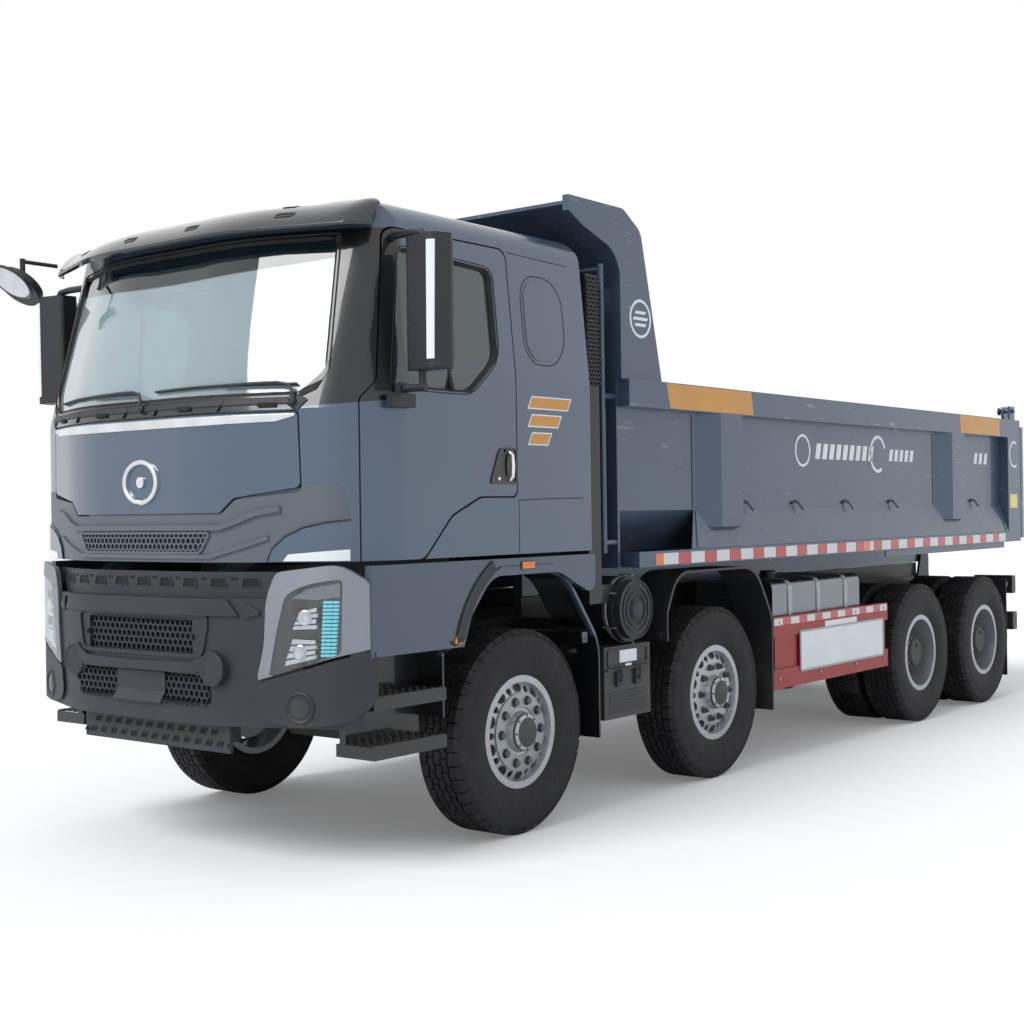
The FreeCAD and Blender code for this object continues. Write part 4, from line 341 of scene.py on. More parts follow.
def make_finishes(colours):
    """Makes every finish on the truck, by name."""
    FINISHES.update({
        "bodywork": body_paint("bodywork", colours.body, 0.85, 0.9, 0.0),
        "cab_paint": body_paint("cab_paint", colours.body, 0.85, 0.9, 0.0, screen_posts),
        # the wings' paint is the cab's colour darkened to 0.74 as painted shade; steps and liner are black
        # plastic
        "shaded_wing_paint": body_paint("shaded_wing_paint", shaded(colours.body, 0.74), 0.7, 1.2, 0.0, steps_and_liner),
        "wheel_nut": bare_metal("wheel_nut", tint(104, 105, 108), 0.35, (1, 1, 1), 120.0, 0.9, 0.9),
        "bed_paint": body_paint("bed_paint", colours.bed, 0.45, 1.2, 0.5),
        "dark_plastic": grained_plastic("dark_plastic", tint(38, 43, 49), 0.42, 700.0),
        "mirror_plastic": grained_plastic("mirror_plastic", tint(32, 36, 42), 0.35, 700.0),
        "mask_plastic": grained_plastic("mask_plastic", tint(84, 92, 99), 0.36, 700.0),
        "visor": gloss_plastic("visor", tint(38, 44, 48)),
        "glazing": tinted_glass("glazing", tint(120, 142, 148), 0.85),
        "screen_glass": tinted_glass("screen_glass", tint(200, 220, 226), 0.62, 0.02, True),
        "lamp_glass": tinted_glass("lamp_glass", tint(244, 248, 250), 1.0, 0.0, False, 0.1),
        "wheel_silver": bare_metal("wheel_silver", tint(176, 180, 186), 0.28, (1, 1, 1), 70.0, 0.7, 0.95),
        "tyre_rubber": rubber("tyre_rubber", tint(15, 16, 20), True),
        "frame_paint": plain_paint("frame_paint", tint(30, 31, 34), 0.45, 1.1),
        "cast_grey": bare_metal("cast_grey", tint(74, 75, 76), 0.5, (1, 1, 1), 140.0, 0.5, 0.9, 0.0009),
        "ram_chrome": bare_metal("ram_chrome", tint(212, 214, 216), 0.08, (1, 1, 0.02), 90.0, 1.0, 0.3),
        "ram_paint": plain_paint("ram_paint", tint(48, 52, 58), 0.35, 1.0),
        "guard_red": plain_paint("guard_red", colours.guard, 0.4, 0.3, 0.0),
        "tank_alloy": bare_metal("tank_alloy", tint(128, 133, 139), 0.1, (1, 0.03, 1), 160.0, 0.95, 0.95),
        "interior": grained_plastic("interior", tint(52, 54, 57), 0.5, 500.0, 0.3),
        "seat_cloth": woven_cloth("seat_cloth", tint(58, 60, 66)),
        "chrome": bare_metal("chrome", tint(226, 229, 232), 0.04, (1, 0.2, 1), 7.0, 1.0, 0.4, 0.0001),
        "lamp_surround": bare_metal("lamp_surround", tint(136, 142, 149), 0.34, (1, 1, 1), 200.0, 0.6, 0.6),
        "silver_trim": bare_metal("silver_trim", tint(160, 165, 170), 0.28, (1, 1, 1), 200.0, 0.7, 0.6),
        "black_trim": gloss_plastic("black_trim", tint(17, 18, 20), 0.2),
        "seal": rubber("seal", tint(16, 16, 18), False),
        "stripe": plain_paint("stripe", tuple(colours.stripe), 0.34, 0.7, 0.1),
        "marking": plain_paint("marking", tint(222, 228, 233), 0.4, 0.7, 0.1),
        "film_red": beaded_film("film_red", tuple(colours.film)),
        "film_white": beaded_film("film_white", tint(206, 209, 211)),
        "film_amber": beaded_film("film_amber", tint(222, 104, 38)),
        "label": beaded_film("label", tint(226, 208, 52)),
        "lamp_red": lit_lens("lamp_red", tint(176, 24, 22), 0.15),
        "lamp_amber": lit_lens("lamp_amber", tint(226, 116, 34), 0.12),
        "lamp_cyan": lit_lens("lamp_cyan", tint(96, 206, 220), 0.55),
        "lamp_white": lit_lens("lamp_white", tint(226, 231, 236), 0.1),
        "reflector": bare_metal("reflector", tint(220, 224, 228), 0.05, (1, 1, 1), 30.0, 1.0, 0.2, 0.0002),
        # near-black plastic: painted shade in holes, slots, vents and behind grilles, and the black faces of
        # the parking sensors and visor lamps
        "painted_shade_and_black": grained_plastic("painted_shade_and_black", tint(13, 14, 15), 0.7, 300.0, 0.6),
    })


# ---------------------------------------------------------------- shapes

WELD = 1e-6  # points nearer than this are one point
POINT = 1e-5  # the radius of a turning where it closes on its axis
SMOOTH_ANGLE = 32  # edges sharper than this many degrees stay hard
BEVEL_ANGLE = 38  # edges sharper than this many degrees are rounded

def arc(centre, radius, start, stop, steps):
    """Points round part of a circle, angles in degrees."""
    turns = [radians(start + (stop - start) * k / steps) for k in range(steps + 1)]
    return [(centre[0] + radius * cos(t), centre[1] + radius * sin(t)) for t in turns]


def eased(corners, steps=5):
    """An outline whose corners, given as (u, v, radius), are rounded."""
    points = []
    for k, corner in enumerate(corners):
        here = Vector(corner[:2])
        radius = corner[2] if len(corner) > 2 else 0.0
        before = Vector(corners[k - 1][:2]) - here
        after = Vector(corners[(k + 1) % len(corners)][:2]) - here
        if radius <= 0:
            points.append(tuple(here))
            continue
        reach = min(radius, before.length * 0.49, after.length * 0.49)
        first, last = here + before.normalized() * reach, here + after.normalized() * reach
        for step in range(steps + 1):
            t = step / steps
            points.append(tuple(first * (1 - t) ** 2 + here * 2 * t * (1 - t) + last * t * t))
    return points


def oblong(low, high, radius=0.0):
    """A rectangle from its low corner to its high one, with rounded corners."""
    corners = ((low[0], low[1]), (high[0], low[1]), (high[0], high[1]), (low[0], high[1]))
    return eased([(*corner, radius) for corner in corners])


def slanted(u, v, far, near, half):
    """A leaning plate round (u, v): the sharp corners are far from its middle, the blunt ones near."""
    return [(u - far, v - half), (u + near, v - half), (u + far, v + half), (u - near, v + half)]


def leaning(u, foot, top, long, lean):
    """A band from u, long along its foot, whose top stands further on by lean."""
    return [(u, foot), (u + long, foot), (u + long + lean, top), (u + lean, top)]


def flipped(points):
    """An outline on the left made whole by its image on the right, in order round it."""
    return list(points) + [(-p[0], *p[1:]) for p in reversed(points)]


def grown(outline, by):
    """A closed outline pushed out by a distance."""
    count, out = len(outline), []
    area = sum(outline[k - 1][0] * outline[k][1] - outline[k][0] * outline[k - 1][1] for k in range(count))
    hand = 1 if area > 0 else -1
    for k in range(count):
        before, here, after = (Vector(outline[j % count][:2]) for j in (k - 1, k, k + 1))
        one, two = (here - before), (after - here)
        one = one.normalized() if one.length else two.normalized()
        two = two.normalized() if two.length else one
        way = Vector((one.y + two.y, -one.x - two.x)) * hand
        way = way.normalized() if way.length > 1e-6 else Vector((one.y, -one.x)) * hand
        share = max(0.35, way.dot(Vector((one.y, -one.x)) * hand))
        out.append(tuple(here + way * by / share))
    return out


def evened(outline, count):
    """A closed outline cut into equal steps round it."""
    ring = [Vector(p) for p in outline] + [Vector(outline[0])]
    spans = [(b - a).length for a, b in zip(ring, ring[1:])]
    points, k, passed = [], 0, 0.0
    for step in range(count):
        goal = sum(spans) * step / count
        while passed + spans[k] < goal:
            passed, k = passed + spans[k], k + 1
        points.append(tuple(ring[k].lerp(ring[k + 1], (goal - passed) / spans[k])))
    return points


def inside(point, outline):
    """Whether a flat point is within a closed outline."""
    u, v = point
    within = False
    for k in range(len(outline)):
        (a, b), (c, d) = outline[k - 1][:2], outline[k][:2]
        if (b > v) != (d > v) and u < (c - a) * (v - b) / (d - b) + a:
            within = not within
    return within


def flat_on(axis, level, sign=1):
    """Lays (u, v) on a flat face across an axis; proud moves away from it."""

    def lay(u, v, proud):
        away = level + proud * sign
        return {"X": Vector((away, u, v)), "Y": Vector((u, away, v)), "Z": Vector((u, v, away))}[axis]

    return lay


class Skin:
    """The outside of some construction nodes, on which details are laid."""

    def __init__(self, *nodes):
        points, faces = [], []
        for name in nodes:
            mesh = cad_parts[name].data
            start = len(points)
            points += [v.co.copy() for v in mesh.vertices]
            faces += [[start + k for k in face.vertices] for face in mesh.polygons]
        self.tree = BVHTree.FromPolygons(points, faces)

    def strike(self, start, way, proud):
        """Where a line from start first meets the skin, or comes nearest to it, moved back by proud."""
        start, way = Vector(start), Vector(way)
        hit = self.tree.ray_cast(start, way)[0]
        if hit is None:
            hit = self.tree.find_nearest(start + way * 2.0)[0]
            hit = start + way * (hit - start).dot(way)
        return hit - way * proud

    def ahead(self, x, z, proud):
        return self.strike((x, CAD_LOW.y - 1.0, z), (0, 1, 0), proud)

    def behind(self, x, z, proud):
        return self.strike((x, CAD_HIGH.y + 1.0, z), (0, -1, 0), proud)

    def beside(self, y, z, proud):
        return self.strike((CAD_HIGH.x + 1.0, y, z), (-1, 0, 0), proud)


class Form:
    """A mesh built up from plates, turnings and bars. A finish is given by its place in the piece's list."""

    def __init__(self):
        self.bm = bmesh.new()
        self.number = 0

    def of(self, number):
        """The next shapes take this finish."""
        self.number = number
        return self

    def skin_over(self, rings, caps=True):
        """Faces between rings of points, one after the other."""
        made = [[self.bm.verts.new(p) for p in ring] for ring in rings]
        size = len(made[0])
        for one, two in zip(made, made[1:]):
            for k in range(size):
                j = (k + 1) % size
                self.close((one[k], one[j], two[j], two[k]))
        if caps:
            self.close(made[0][::-1])
            self.close(made[-1])
        return self

    def close(self, corners):
        if len(set(corners)) > 2:
            self.bm.faces.new(corners).material_index = self.number

    def prism(self, outline, axis, low, high):
        """A flat outline drawn out along an axis."""
        lay = flat_on(axis, 0.0)
        return self.skin_over([[lay(u, v, level) for u, v in outline] for level in (low, high)])

    def slab(self, low, high):
        """A block between two corners."""
        return self.prism(oblong(low, high), "Z", low[2], high[2])

    def turned(self, profile, origin, axis, steps=24):
        """A profile of (radius, distance along the axis) turned round the axis."""
        way = Vector(axis).normalized()
        side = way.orthogonal().normalized()
        other = way.cross(side)
        turns = [tau * k / steps for k in range(steps)]
        rings = []
        for radius, along in profile:
            middle = Vector(origin) + way * along
            rings.append([middle + (side * cos(t) + other * sin(t)) * max(radius, POINT) for t in turns])
        return self.skin_over(rings)

    def bar(self, points, radius, steps=10, section=None):
        """A round bar, or one of a given section, along points."""
        points = [Vector(p) for p in points]
        turns = [tau * k / steps for k in range(steps)]
        shape = section or [(radius * cos(t), radius * sin(t)) for t in turns]
        ways = [(b - a).normalized() for a, b in zip(points, points[1:])]
        turn, rings = ways[0].orthogonal().normalized(), []
        if section:
            flat = Vector((0, 0, 1)) if abs(ways[0].z) < 0.9 else Vector((0, 1, 0))
            turn = ways[0].cross(flat).normalized()
        for k, here in enumerate(points):
            way = (ways[max(0, k - 1)] + ways[min(k, len(ways) - 1)]).normalized()
            turn = (turn - way * turn.dot(way)).normalized()
            other = way.cross(turn)
            rings.append([here + turn * u + other * v for u, v in shape])
        return self.skin_over(rings)

    def patch(self, outline, lay, top, foot=-0.002, step=0.06):
        """A plate with a flat outline (u, v), laid on a surface by lay(u, v, proud)."""
        flat = bmesh.new()
        flat.faces.new([flat.verts.new((u, v, 0)) for u, v in outline])
        for axis in (0, 1):
            low, high = min(p[axis] for p in outline), max(p[axis] for p in outline)
            for k in range(1, int((high - low) / step) + 1):
                level = low + (high - low) * k / (int((high - low) / step) + 1)
                normal = (1, 0, 0) if axis == 0 else (0, 1, 0)
                bmesh.ops.bisect_plane(
                    flat, geom=flat.verts[:] + flat.edges[:] + flat.faces[:], dist=WELD,
                    plane_co=tuple(level * n for n in normal), plane_no=normal,
                )
        bmesh.ops.triangulate(flat, faces=[f for f in flat.faces if len(f.verts) > 4])
        upper = {v: self.bm.verts.new(lay(v.co.x, v.co.y, top)) for v in flat.verts}
        lower = {v: self.bm.verts.new(lay(v.co.x, v.co.y, foot)) for v in flat.verts}
        for face in flat.faces:
            self.close([upper[v] for v in face.verts])
            self.close([lower[v] for v in reversed(face.verts)])
        for edge in flat.edges:
            if edge.is_boundary:
                one, two = edge.verts
                if edge.link_loops[0].vert is two:
                    one, two = two, one
                self.close((lower[one], lower[two], upper[two], upper[one]))
        flat.free()
        return self

    def rim(self, outline, lay, wide, top, foot=-0.002, step=0.08, whole=True):
        """A flat band that follows an outline, wide across and standing top proud."""
        path = []
        count = len(outline)
        for k in range(count if whole else count - 1):
            one, two = Vector(outline[k]), Vector(outline[(k + 1) % count])
            parts = max(1, int((two - one).length / step))
            path += [one.lerp(two, j / parts) for j in range(parts)]
        if not whole:
            path.append(Vector(outline[-1]))
        rings = []
        for k, here in enumerate(path):
            before = path[k - 1] if k or whole else here
            after = path[(k + 1) % len(path)] if k + 1 < len(path) or whole else here
            way = (after - before)
            way = way.normalized() if way.length > 1e-9 else Vector((1, 0))
            across = Vector((way.y, -way.x)) * wide / 2
            out, back = here + across, here - across
            rings.append([lay(*out, foot), lay(*out, top), lay(*back, top), lay(*back, foot)])
        if whole:
            rings.append(rings[0])
        return self.skin_over(rings, caps=not whole)

    def comb(self, outline, lay, pitch, wall, top, foot):
        """A mesh of hexagons inside an outline, with walls that rise from foot to top."""
        low = [min(p[k] for p in outline) for k in (0, 1)]
        high = [max(p[k] for p in outline) for k in (0, 1)]
        rise, corner = pitch * 0.866, pitch * 0.577
        for row in range(int((high[1] - low[1]) / rise) + 2):
            for column in range(int((high[0] - low[0]) / pitch) + 2):
                middle = (low[0] + (column + 0.5 * (row % 2)) * pitch, low[1] + row * rise)
                if not inside(middle, outline):
                    continue
                outer, inner = (arc(middle, radius, 30, 330, 5) for radius in (corner, corner - wall))
                rings = ((outer, foot), (outer, top), (inner, top), (inner, foot))
                self.skin_over([[lay(*p, level) for p in ring] for ring, level in rings], caps=False)
        return self

    def across(self):
        """Adds the mirror image on the other side of the truck."""
        every = self.bm.verts[:] + self.bm.edges[:] + self.bm.faces[:]
        copies = bmesh.ops.duplicate(self.bm, geom=every)["geom"]
        for vert in copies:
            if isinstance(vert, bmesh.types.BMVert):
                vert.co.x = -vert.co.x
        bmesh.ops.reverse_faces(self.bm, faces=[f for f in copies if isinstance(f, bmesh.types.BMFace)])
        return self

    def handed(self, hand):
        """The shape as it is on the left, or moved to the right."""
        for vert in self.bm.verts:
            vert.co.x *= hand
        return self

    def mesh(self, name, finishes, angle=SMOOTH_ANGLE):
        """The finished mesh, smooth but for edges sharper than an angle."""
        bmesh.ops.remove_doubles(self.bm, verts=self.bm.verts[:], dist=WELD)
        bmesh.ops.recalc_face_normals(self.bm, faces=self.bm.faces[:])
        mesh = bpy.data.meshes.new(name)
        self.bm.to_mesh(mesh)
        self.bm.free()
        for finish in finishes:
            mesh.materials.append(FINISHES[finish])
        mesh.shade_smooth()
        mesh.set_sharp_from_angle(angle=radians(angle))
        return mesh


def settle(shape, name, body, finishes, stands_for=(), bevel=0.0, at=None):
    """Puts a shape, or a mesh that is already made, in the scene as a piece that rides on a body."""
    mesh = shape.mesh(name, finishes) if isinstance(shape, Form) else shape
    piece = bpy.data.objects.new(name, mesh)
    bpy.context.scene.collection.objects.link(piece)
    if at is not None:
        piece.matrix_world = at
    if bevel:
        edge = piece.modifiers.new("edges", "BEVEL")
        edge.width, edge.segments, edge.limit_method = bevel, 2, "ANGLE"
        edge.angle_limit, edge.harden_normals = radians(BEVEL_ANGLE), True
    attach(piece, body)
    if stands_for:
        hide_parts(*stands_for)


# ---------------------------------------------------------------- sizes and colours


class TruckColours(PropertyGroup):
    """The colours that an owner would choose."""

    body: FloatVectorProperty(
        name="Cab", description="Cab paint", subtype="COLOR", size=4, min=0, max=1, default=tint(73, 89, 107)
    )
    bed: FloatVectorProperty(
        name="Bed", description="Bed paint", subtype="COLOR", size=4, min=0, max=1, default=tint(68, 84, 103)
    )
    stripe: FloatVectorProperty(
        name="Stripe", description="Stripes on the bed's rail", subtype="COLOR", size=4, min=0, max=1,
        default=tint(200, 140, 62),
    )
    guard: FloatVectorProperty(
        name="Guard", description="Side guard paint", subtype="COLOR", size=4, min=0, max=1,
        default=tint(146, 10, 13),
    )
    film: FloatVectorProperty(
        name="Film", description="Red blocks of the reflective film", subtype="COLOR", size=4, min=0, max=1,
        default=tint(178, 20, 30),
    )


class TruckSizes(PropertyGroup):
    """The sizes that an owner would change."""

    tread: FloatProperty(
        name="Tread", description="Depth of the tyres' grooves", default=0.013, min=0.002, max=0.02,
        unit="LENGTH"
    )
    pitches: IntProperty(name="Tread blocks", description="Blocks round a tyre", default=46, min=20, max=70)
    nut: FloatProperty(
        name="Wheel nut", description="From the middle of a wheel nut to its corner", default=0.0195,
        unit="LENGTH"
    )
    comb: FloatProperty(
        name="Grille mesh", description="From cell to cell of the grilles", default=0.030, min=0.012,
        unit="LENGTH"
    )
    block: FloatProperty(
        name="Film block", description="Length of one red block of the film along the bed", default=0.147,
        unit="LENGTH"
    )


NODE_FINISHES = {
    "bodywork": ("front_lid",),
    "cab_paint": ("cab_shell", "door_left", "door_right"),
    "shaded_wing_paint": ("front_fenders",),
    "bed_paint": ("bed_tub", "bed_front", "tailgate"),
    "dark_plastic": ("front_bumper",),
    "mirror_plastic": ("mirror_left", "mirror_right", "front_mirror"),
    "mask_plastic": ("front_mask",),
    "visor": ("sun_visor",),
    "glazing": ("door_glass_left", "door_glass_right"),
    "screen_glass": ("windscreen",),
    "lamp_glass": ("headlights",),
    "wheel_silver": tuple(
        f"{rim}_{side}" for rim in ("rim_front", "rim_second", "rims_third", "rims_fourth") for side, _ in SIDES
    ),
    "tyre_rubber": tuple(
        f"{tyre}_{side}" for tyre in ("tyre_front", "tyre_second", "tyres_third", "tyres_fourth")
        for side, _ in SIDES
    ),
    "frame_paint": (
        "chassis_frame", "leaf_springs", "mudguards", "rear_underrun", "air_cleaner", "battery_box",
        "track_rod_front", "track_rod_second",
    ),
    "cast_grey": (
        "steer_axles", "drive_axles", "engine", "exhaust_silencer",
        "knuckle_front_left", "knuckle_front_right", "knuckle_second_left", "knuckle_second_right",
    ),
    "ram_paint": ("ram_foot", "ram_cover"),
    "ram_chrome": ("ram_stage_1", "ram_stage_2", "ram_stage_3"),
    "guard_red": ("side_guards",),
    "tank_alloy": ("fuel_tank",),
    "interior": ("dashboard", "steering_wheel"),
    "seat_cloth": ("seats",),
}


class TRUCK_OT_finishes(Operator):
    """Makes the finishes and gives them to the frame's own nodes"""

    bl_idname = "truck.finishes"
    bl_label = "Finishes"
    bl_options = {"REGISTER", "UNDO"}

    def execute(self, context):
        colours = context.scene.truck_colours
        make_finishes(colours)
        for finish, nodes in NODE_FINISHES.items():
            for name in nodes:
                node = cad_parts[name]
                if not node.material_slots:
                    node.data.materials.append(FINISHES[finish])
                for slot in node.material_slots:
                    slot.link = "OBJECT"
                    slot.material = FINISHES[finish]
        return {"FINISHED"}


# ---------------------------------------------------------------- wheels


def tyre_mesh(sizes):
    """A tyre round the X axis: four grooves, and blocks that step from rib to rib.

    A pitch of the tread has four steps. A band that is raised into blocks leaves out the step
    that gaps gives for it."""
    base = WHEEL_HEIGHT - sizes.tread - 0.0005
    side = [(0.112, 0.279), (0.119, 0.284), (0.124, 0.300), (0.131, 0.312), (0.141, 0.345), (0.1485, 0.395),
            (0.1495, 0.420), (0.1465, 0.452), (0.1425, 0.470), (0.1445, 0.476), (0.140, 0.496), (0.134, 0.512)]
    ribs = (0.118, 0.0715, 0.0605, 0.0275, 0.0175)
    tread = [(x, base) for x in ribs] + [(-x, base) for x in reversed(ribs)]
    profile = side + tread + [(-x, r) for x, r in reversed(side)]
    first = len(side)
    gaps = {first - 1: 3, first: 3, first + 2: 1, first + 4: 3, first + 6: 1, first + 8: 3, first + 9: 3}
    parts, steps = (0.0, 0.40, 0.50, 0.90), sizes.pitches * 4
    near_tread, shoulder_rise, shoulder_lean = base - 0.003, 0.004, 0.006
    bm, grid = bmesh.new(), []
    for step in range(steps):
        turn = tau * (step // 4 + parts[step % 4]) / sizes.pitches
        sway = 0.0035 * (1 if (step // 2) % 2 else -1)
        row = []
        for k, (x, r) in enumerate(profile):
            shift = sway if first < k < first + 9 else 0.0
            row.append(bm.verts.new((x + shift, r * sin(turn), r * cos(turn))))
        grid.append(row)
    blocks = []
    for step in range(steps):
        for k in range(len(profile) - 1):
            one, two = grid[step], grid[(step + 1) % steps]
            face = bm.faces.new((one[k], one[k + 1], two[k + 1], two[k]))
            if k in gaps and step % 4 != gaps[k]:
                blocks.append(face)
    raised = bmesh.ops.extrude_face_region(bm, geom=blocks)["geom"]
    bmesh.ops.delete(bm, geom=[f for f in blocks if f.is_valid], context="FACES_ONLY")
    for vert in raised:
        if isinstance(vert, bmesh.types.BMVert):
            far = hypot(vert.co.y, vert.co.z)
            rise = sizes.tread if far > near_tread else shoulder_rise
            vert.co.y *= 1 + rise / far
            vert.co.z *= 1 + rise / far
            if far < near_tread:
                vert.co.x *= 1 + shoulder_lean / abs(vert.co.x)
    for step in range(steps):
        one, two = grid[step], grid[(step + 1) % steps]
        bm.faces.new((one[-1], one[0], two[0], two[-1]))
    return bm


class TRUCK_OT_tyres(Operator):
    """Makes the tyres with their tread"""

    bl_idname = "truck.tyres"
    bl_label = "Tyres"
    bl_options = {"REGISTER", "UNDO"}

    def execute(self, context):
        sizes = context.scene.truck_sizes
        form = Form()
        form.bm.free()
        form.bm = tyre_mesh(sizes)
        mesh = form.mesh("tyre", ["tyre_rubber"], 38)
        for row, y in AXLES.items():
            twin = row in TWIN_ROWS
            for side, hand in SIDES:
                for number, x in enumerate(TWIN_WHEELS if twin else (LONE_WHEEL,)):
                    name = f"tyre_{row}_{side}" + ("_inner" if number else "")
                    body = f"wheels_{row}_{side}" if twin else f"wheel_{row}_{side}"
                    node = f"tyres_{row}_{side}" if twin else f"tyre_{row}_{side}"
                    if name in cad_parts:
                        name = f"treaded_{name}"
                    turn = Matrix.Rotation(pi * number, 4, "X")
                    place = Matrix.Translation((x * hand, y, WHEEL_HEIGHT)) @ turn
                    settle(mesh, name, body, [], () if number else (node,), at=place)
        return {"FINISHED"}


WHEEL_NUTS = 10
NUT_RING = 0.1675
HAND_HOLES = 0.231
DISC_FACE = 0.118


def ring_place(k, count, radius):
    """The place of one of count fittings on a ring round the X axis."""
    turn = tau * k / count
    return radius * cos(turn), radius * sin(turn)


def nut_ring(form, face, corner, tall, tip):
    """Flanged hexagon nuts and stud ends on a ring round the X axis."""
    for k in range(WHEEL_NUTS):
        u, v = ring_place(k, WHEEL_NUTS, NUT_RING)
        form.turned([(corner + 0.004, face), (corner + 0.004, face + 0.004)], (0, u, v), (1, 0, 0), 16)
        form.prism(arc((u, v), corner, 0, 300, 5), "X", face + 0.003, face + tall)
        form.turned([(corner * 0.55, face + tall), (corner * 0.55, face + tip - 0.002),
                     (corner * 0.4, face + tip)],
                    (0, u, v), (1, 0, 0), 12)


def cone_at(turn):
    """Lays on the wheel's sloping disc at an angle: u round the disc, v out from its middle."""
    foot, fall, lean_in, lean_out = 0.1915, 0.444, 0.4, 0.91

    def lay(u, v, proud):
        angle, out = turn + u / HAND_HOLES, v + proud * lean_in
        return Vector((DISC_FACE - (v - foot) * fall + proud * lean_out, out * cos(angle), out * sin(angle)))

    return lay


class TRUCK_OT_wheel_fittings(Operator):
    """Makes the wheel nuts, hub caps, valves and the edges of the hand holes"""

    bl_idname = "truck.wheel_fittings"
    bl_label = "Wheel fittings"
    bl_options = {"REGISTER", "UNDO"}

    def execute(self, context):
        sizes = context.scene.truck_sizes
        plate = Form()
        plate.turned([(0.208, 0.110), (0.208, 0.1235), (0.203, 0.1265), (0.131, 0.1265), (0.128, 0.1235),
                      (0.128, 0.1165)],
                     (0, 0, 0), (1, 0, 0), 72)
        for k in range(WHEEL_NUTS):
            u, v = ring_place(k, WHEEL_NUTS, NUT_RING)
            plate.of(0).turned([(0.0285, 0.1255), (0.0285, 0.1285), (0.0255, 0.1285), (0.0255, 0.1265)],
                               (0, u, v), (1, 0, 0), 20)
            # the dark disc round each nut is painted shade in the nut's seat
            plate.of(3).turned([(0.0255, 0.1255), (0.0255, 0.1270), (0.0, 0.1270)], (0, u, v), (1, 0, 0), 20)
        nut_ring(plate.of(1), 0.1225, sizes.nut, 0.024, 0.027)
        studs = Form().of(1)
        nut_ring(studs, 0.1175, sizes.nut, 0.0285, 0.043)
        steer_hub = Form().of(2).turned(
            [(0.1, 0.1), (0.1, 0.155), (0.097, 0.160), (0.080, 0.1625), (0.078, 0.170), (0.068, 0.1755),
             (0.0, 0.1765)],
            (0, 0, 0), (1, 0, 0), 48)
        for k in range(8):
            steer_hub.prism(arc(ring_place(k, 8, 0.088), 0.0065, 0, 300, 5), "X", 0.158, 0.168)
        drive = Form().of(1)
        nut_ring(drive, -0.1475, sizes.nut, 0.0285, 0.043)
        drive.of(2).turned(
            [(0.1325, -0.145), (0.1325, 0.055), (0.127, 0.062), (0.112, 0.064), (0.108, 0.085), (0.098, 0.0925),
             (0.0, 0.0945)],
            (0, 0, 0), (1, 0, 0), 48)
        for k in range(12):
            drive.prism(arc(ring_place(k, 12, 0.1195), 0.007, 0, 300, 5), "X", 0.06, 0.072)
        drive.turned([(0.016, 0.0925), (0.016, 0.101), (0.012, 0.103)], (0, 0, 0.055), (1, 0, 0), 6)
        # the hand holes are near-black patches: painted shade of the dark space behind the disc
        hole = [(0.034 * cos(tau * k / 24), HAND_HOLES + 0.024 * sin(tau * k / 24)) for k in range(24)]
        for form in (plate, studs):
            for k in range(WHEEL_NUTS):
                cone = cone_at(tau * (k + 0.5) / WHEEL_NUTS)
                form.of(3).patch(hole, cone, 0.0012, step=0.02)
                form.of(0).rim(hole, cone, 0.004, 0.0025, step=0.02)
        valve = [(0.205, 0.05), (0.222, 0.085), (0.236, 0.104)]
        for form, far in ((plate, 0.0), (studs, 0.0), (drive, -0.12)):
            form.of(1).bar([(far + x, 0.02, r) for r, x in valve], 0.0045, 8)
        names = ["silver_trim", "wheel_nut", "cast_grey", "painted_shade_and_black"]
        meshes = {"front": plate.mesh("ringed_nuts", names), "second": studs.mesh("open_nuts", names),
                  "hub": steer_hub.mesh("steer_hub", names), "drive": drive.mesh("drive_hub", names)}
        for row, y in AXLES.items():
            twin = row in TWIN_ROWS
            for side, hand in SIDES:
                turn = Matrix.Rotation(0 if hand > 0 else pi, 4, "Z")
                x = TWIN_WHEELS[0] if twin else LONE_WHEEL
                middle = Matrix.Translation((x * hand, y, WHEEL_HEIGHT)) @ turn
                body = f"wheels_{row}_{side}" if twin else f"wheel_{row}_{side}"
                settle(meshes["drive" if twin else row], f"wheel_nuts_{row}_{side}", body, [],
                       at=middle)
                if not twin:
                    settle(meshes["hub"], f"hub_cap_{row}_{side}", body, [], at=middle)
        return {"FINISHED"}


# ---------------------------------------------------------------- cab front

SCREEN = flipped([(0.925, 2.265), (1.005, 2.300), (1.045, 2.385), (0.985, 3.030)])


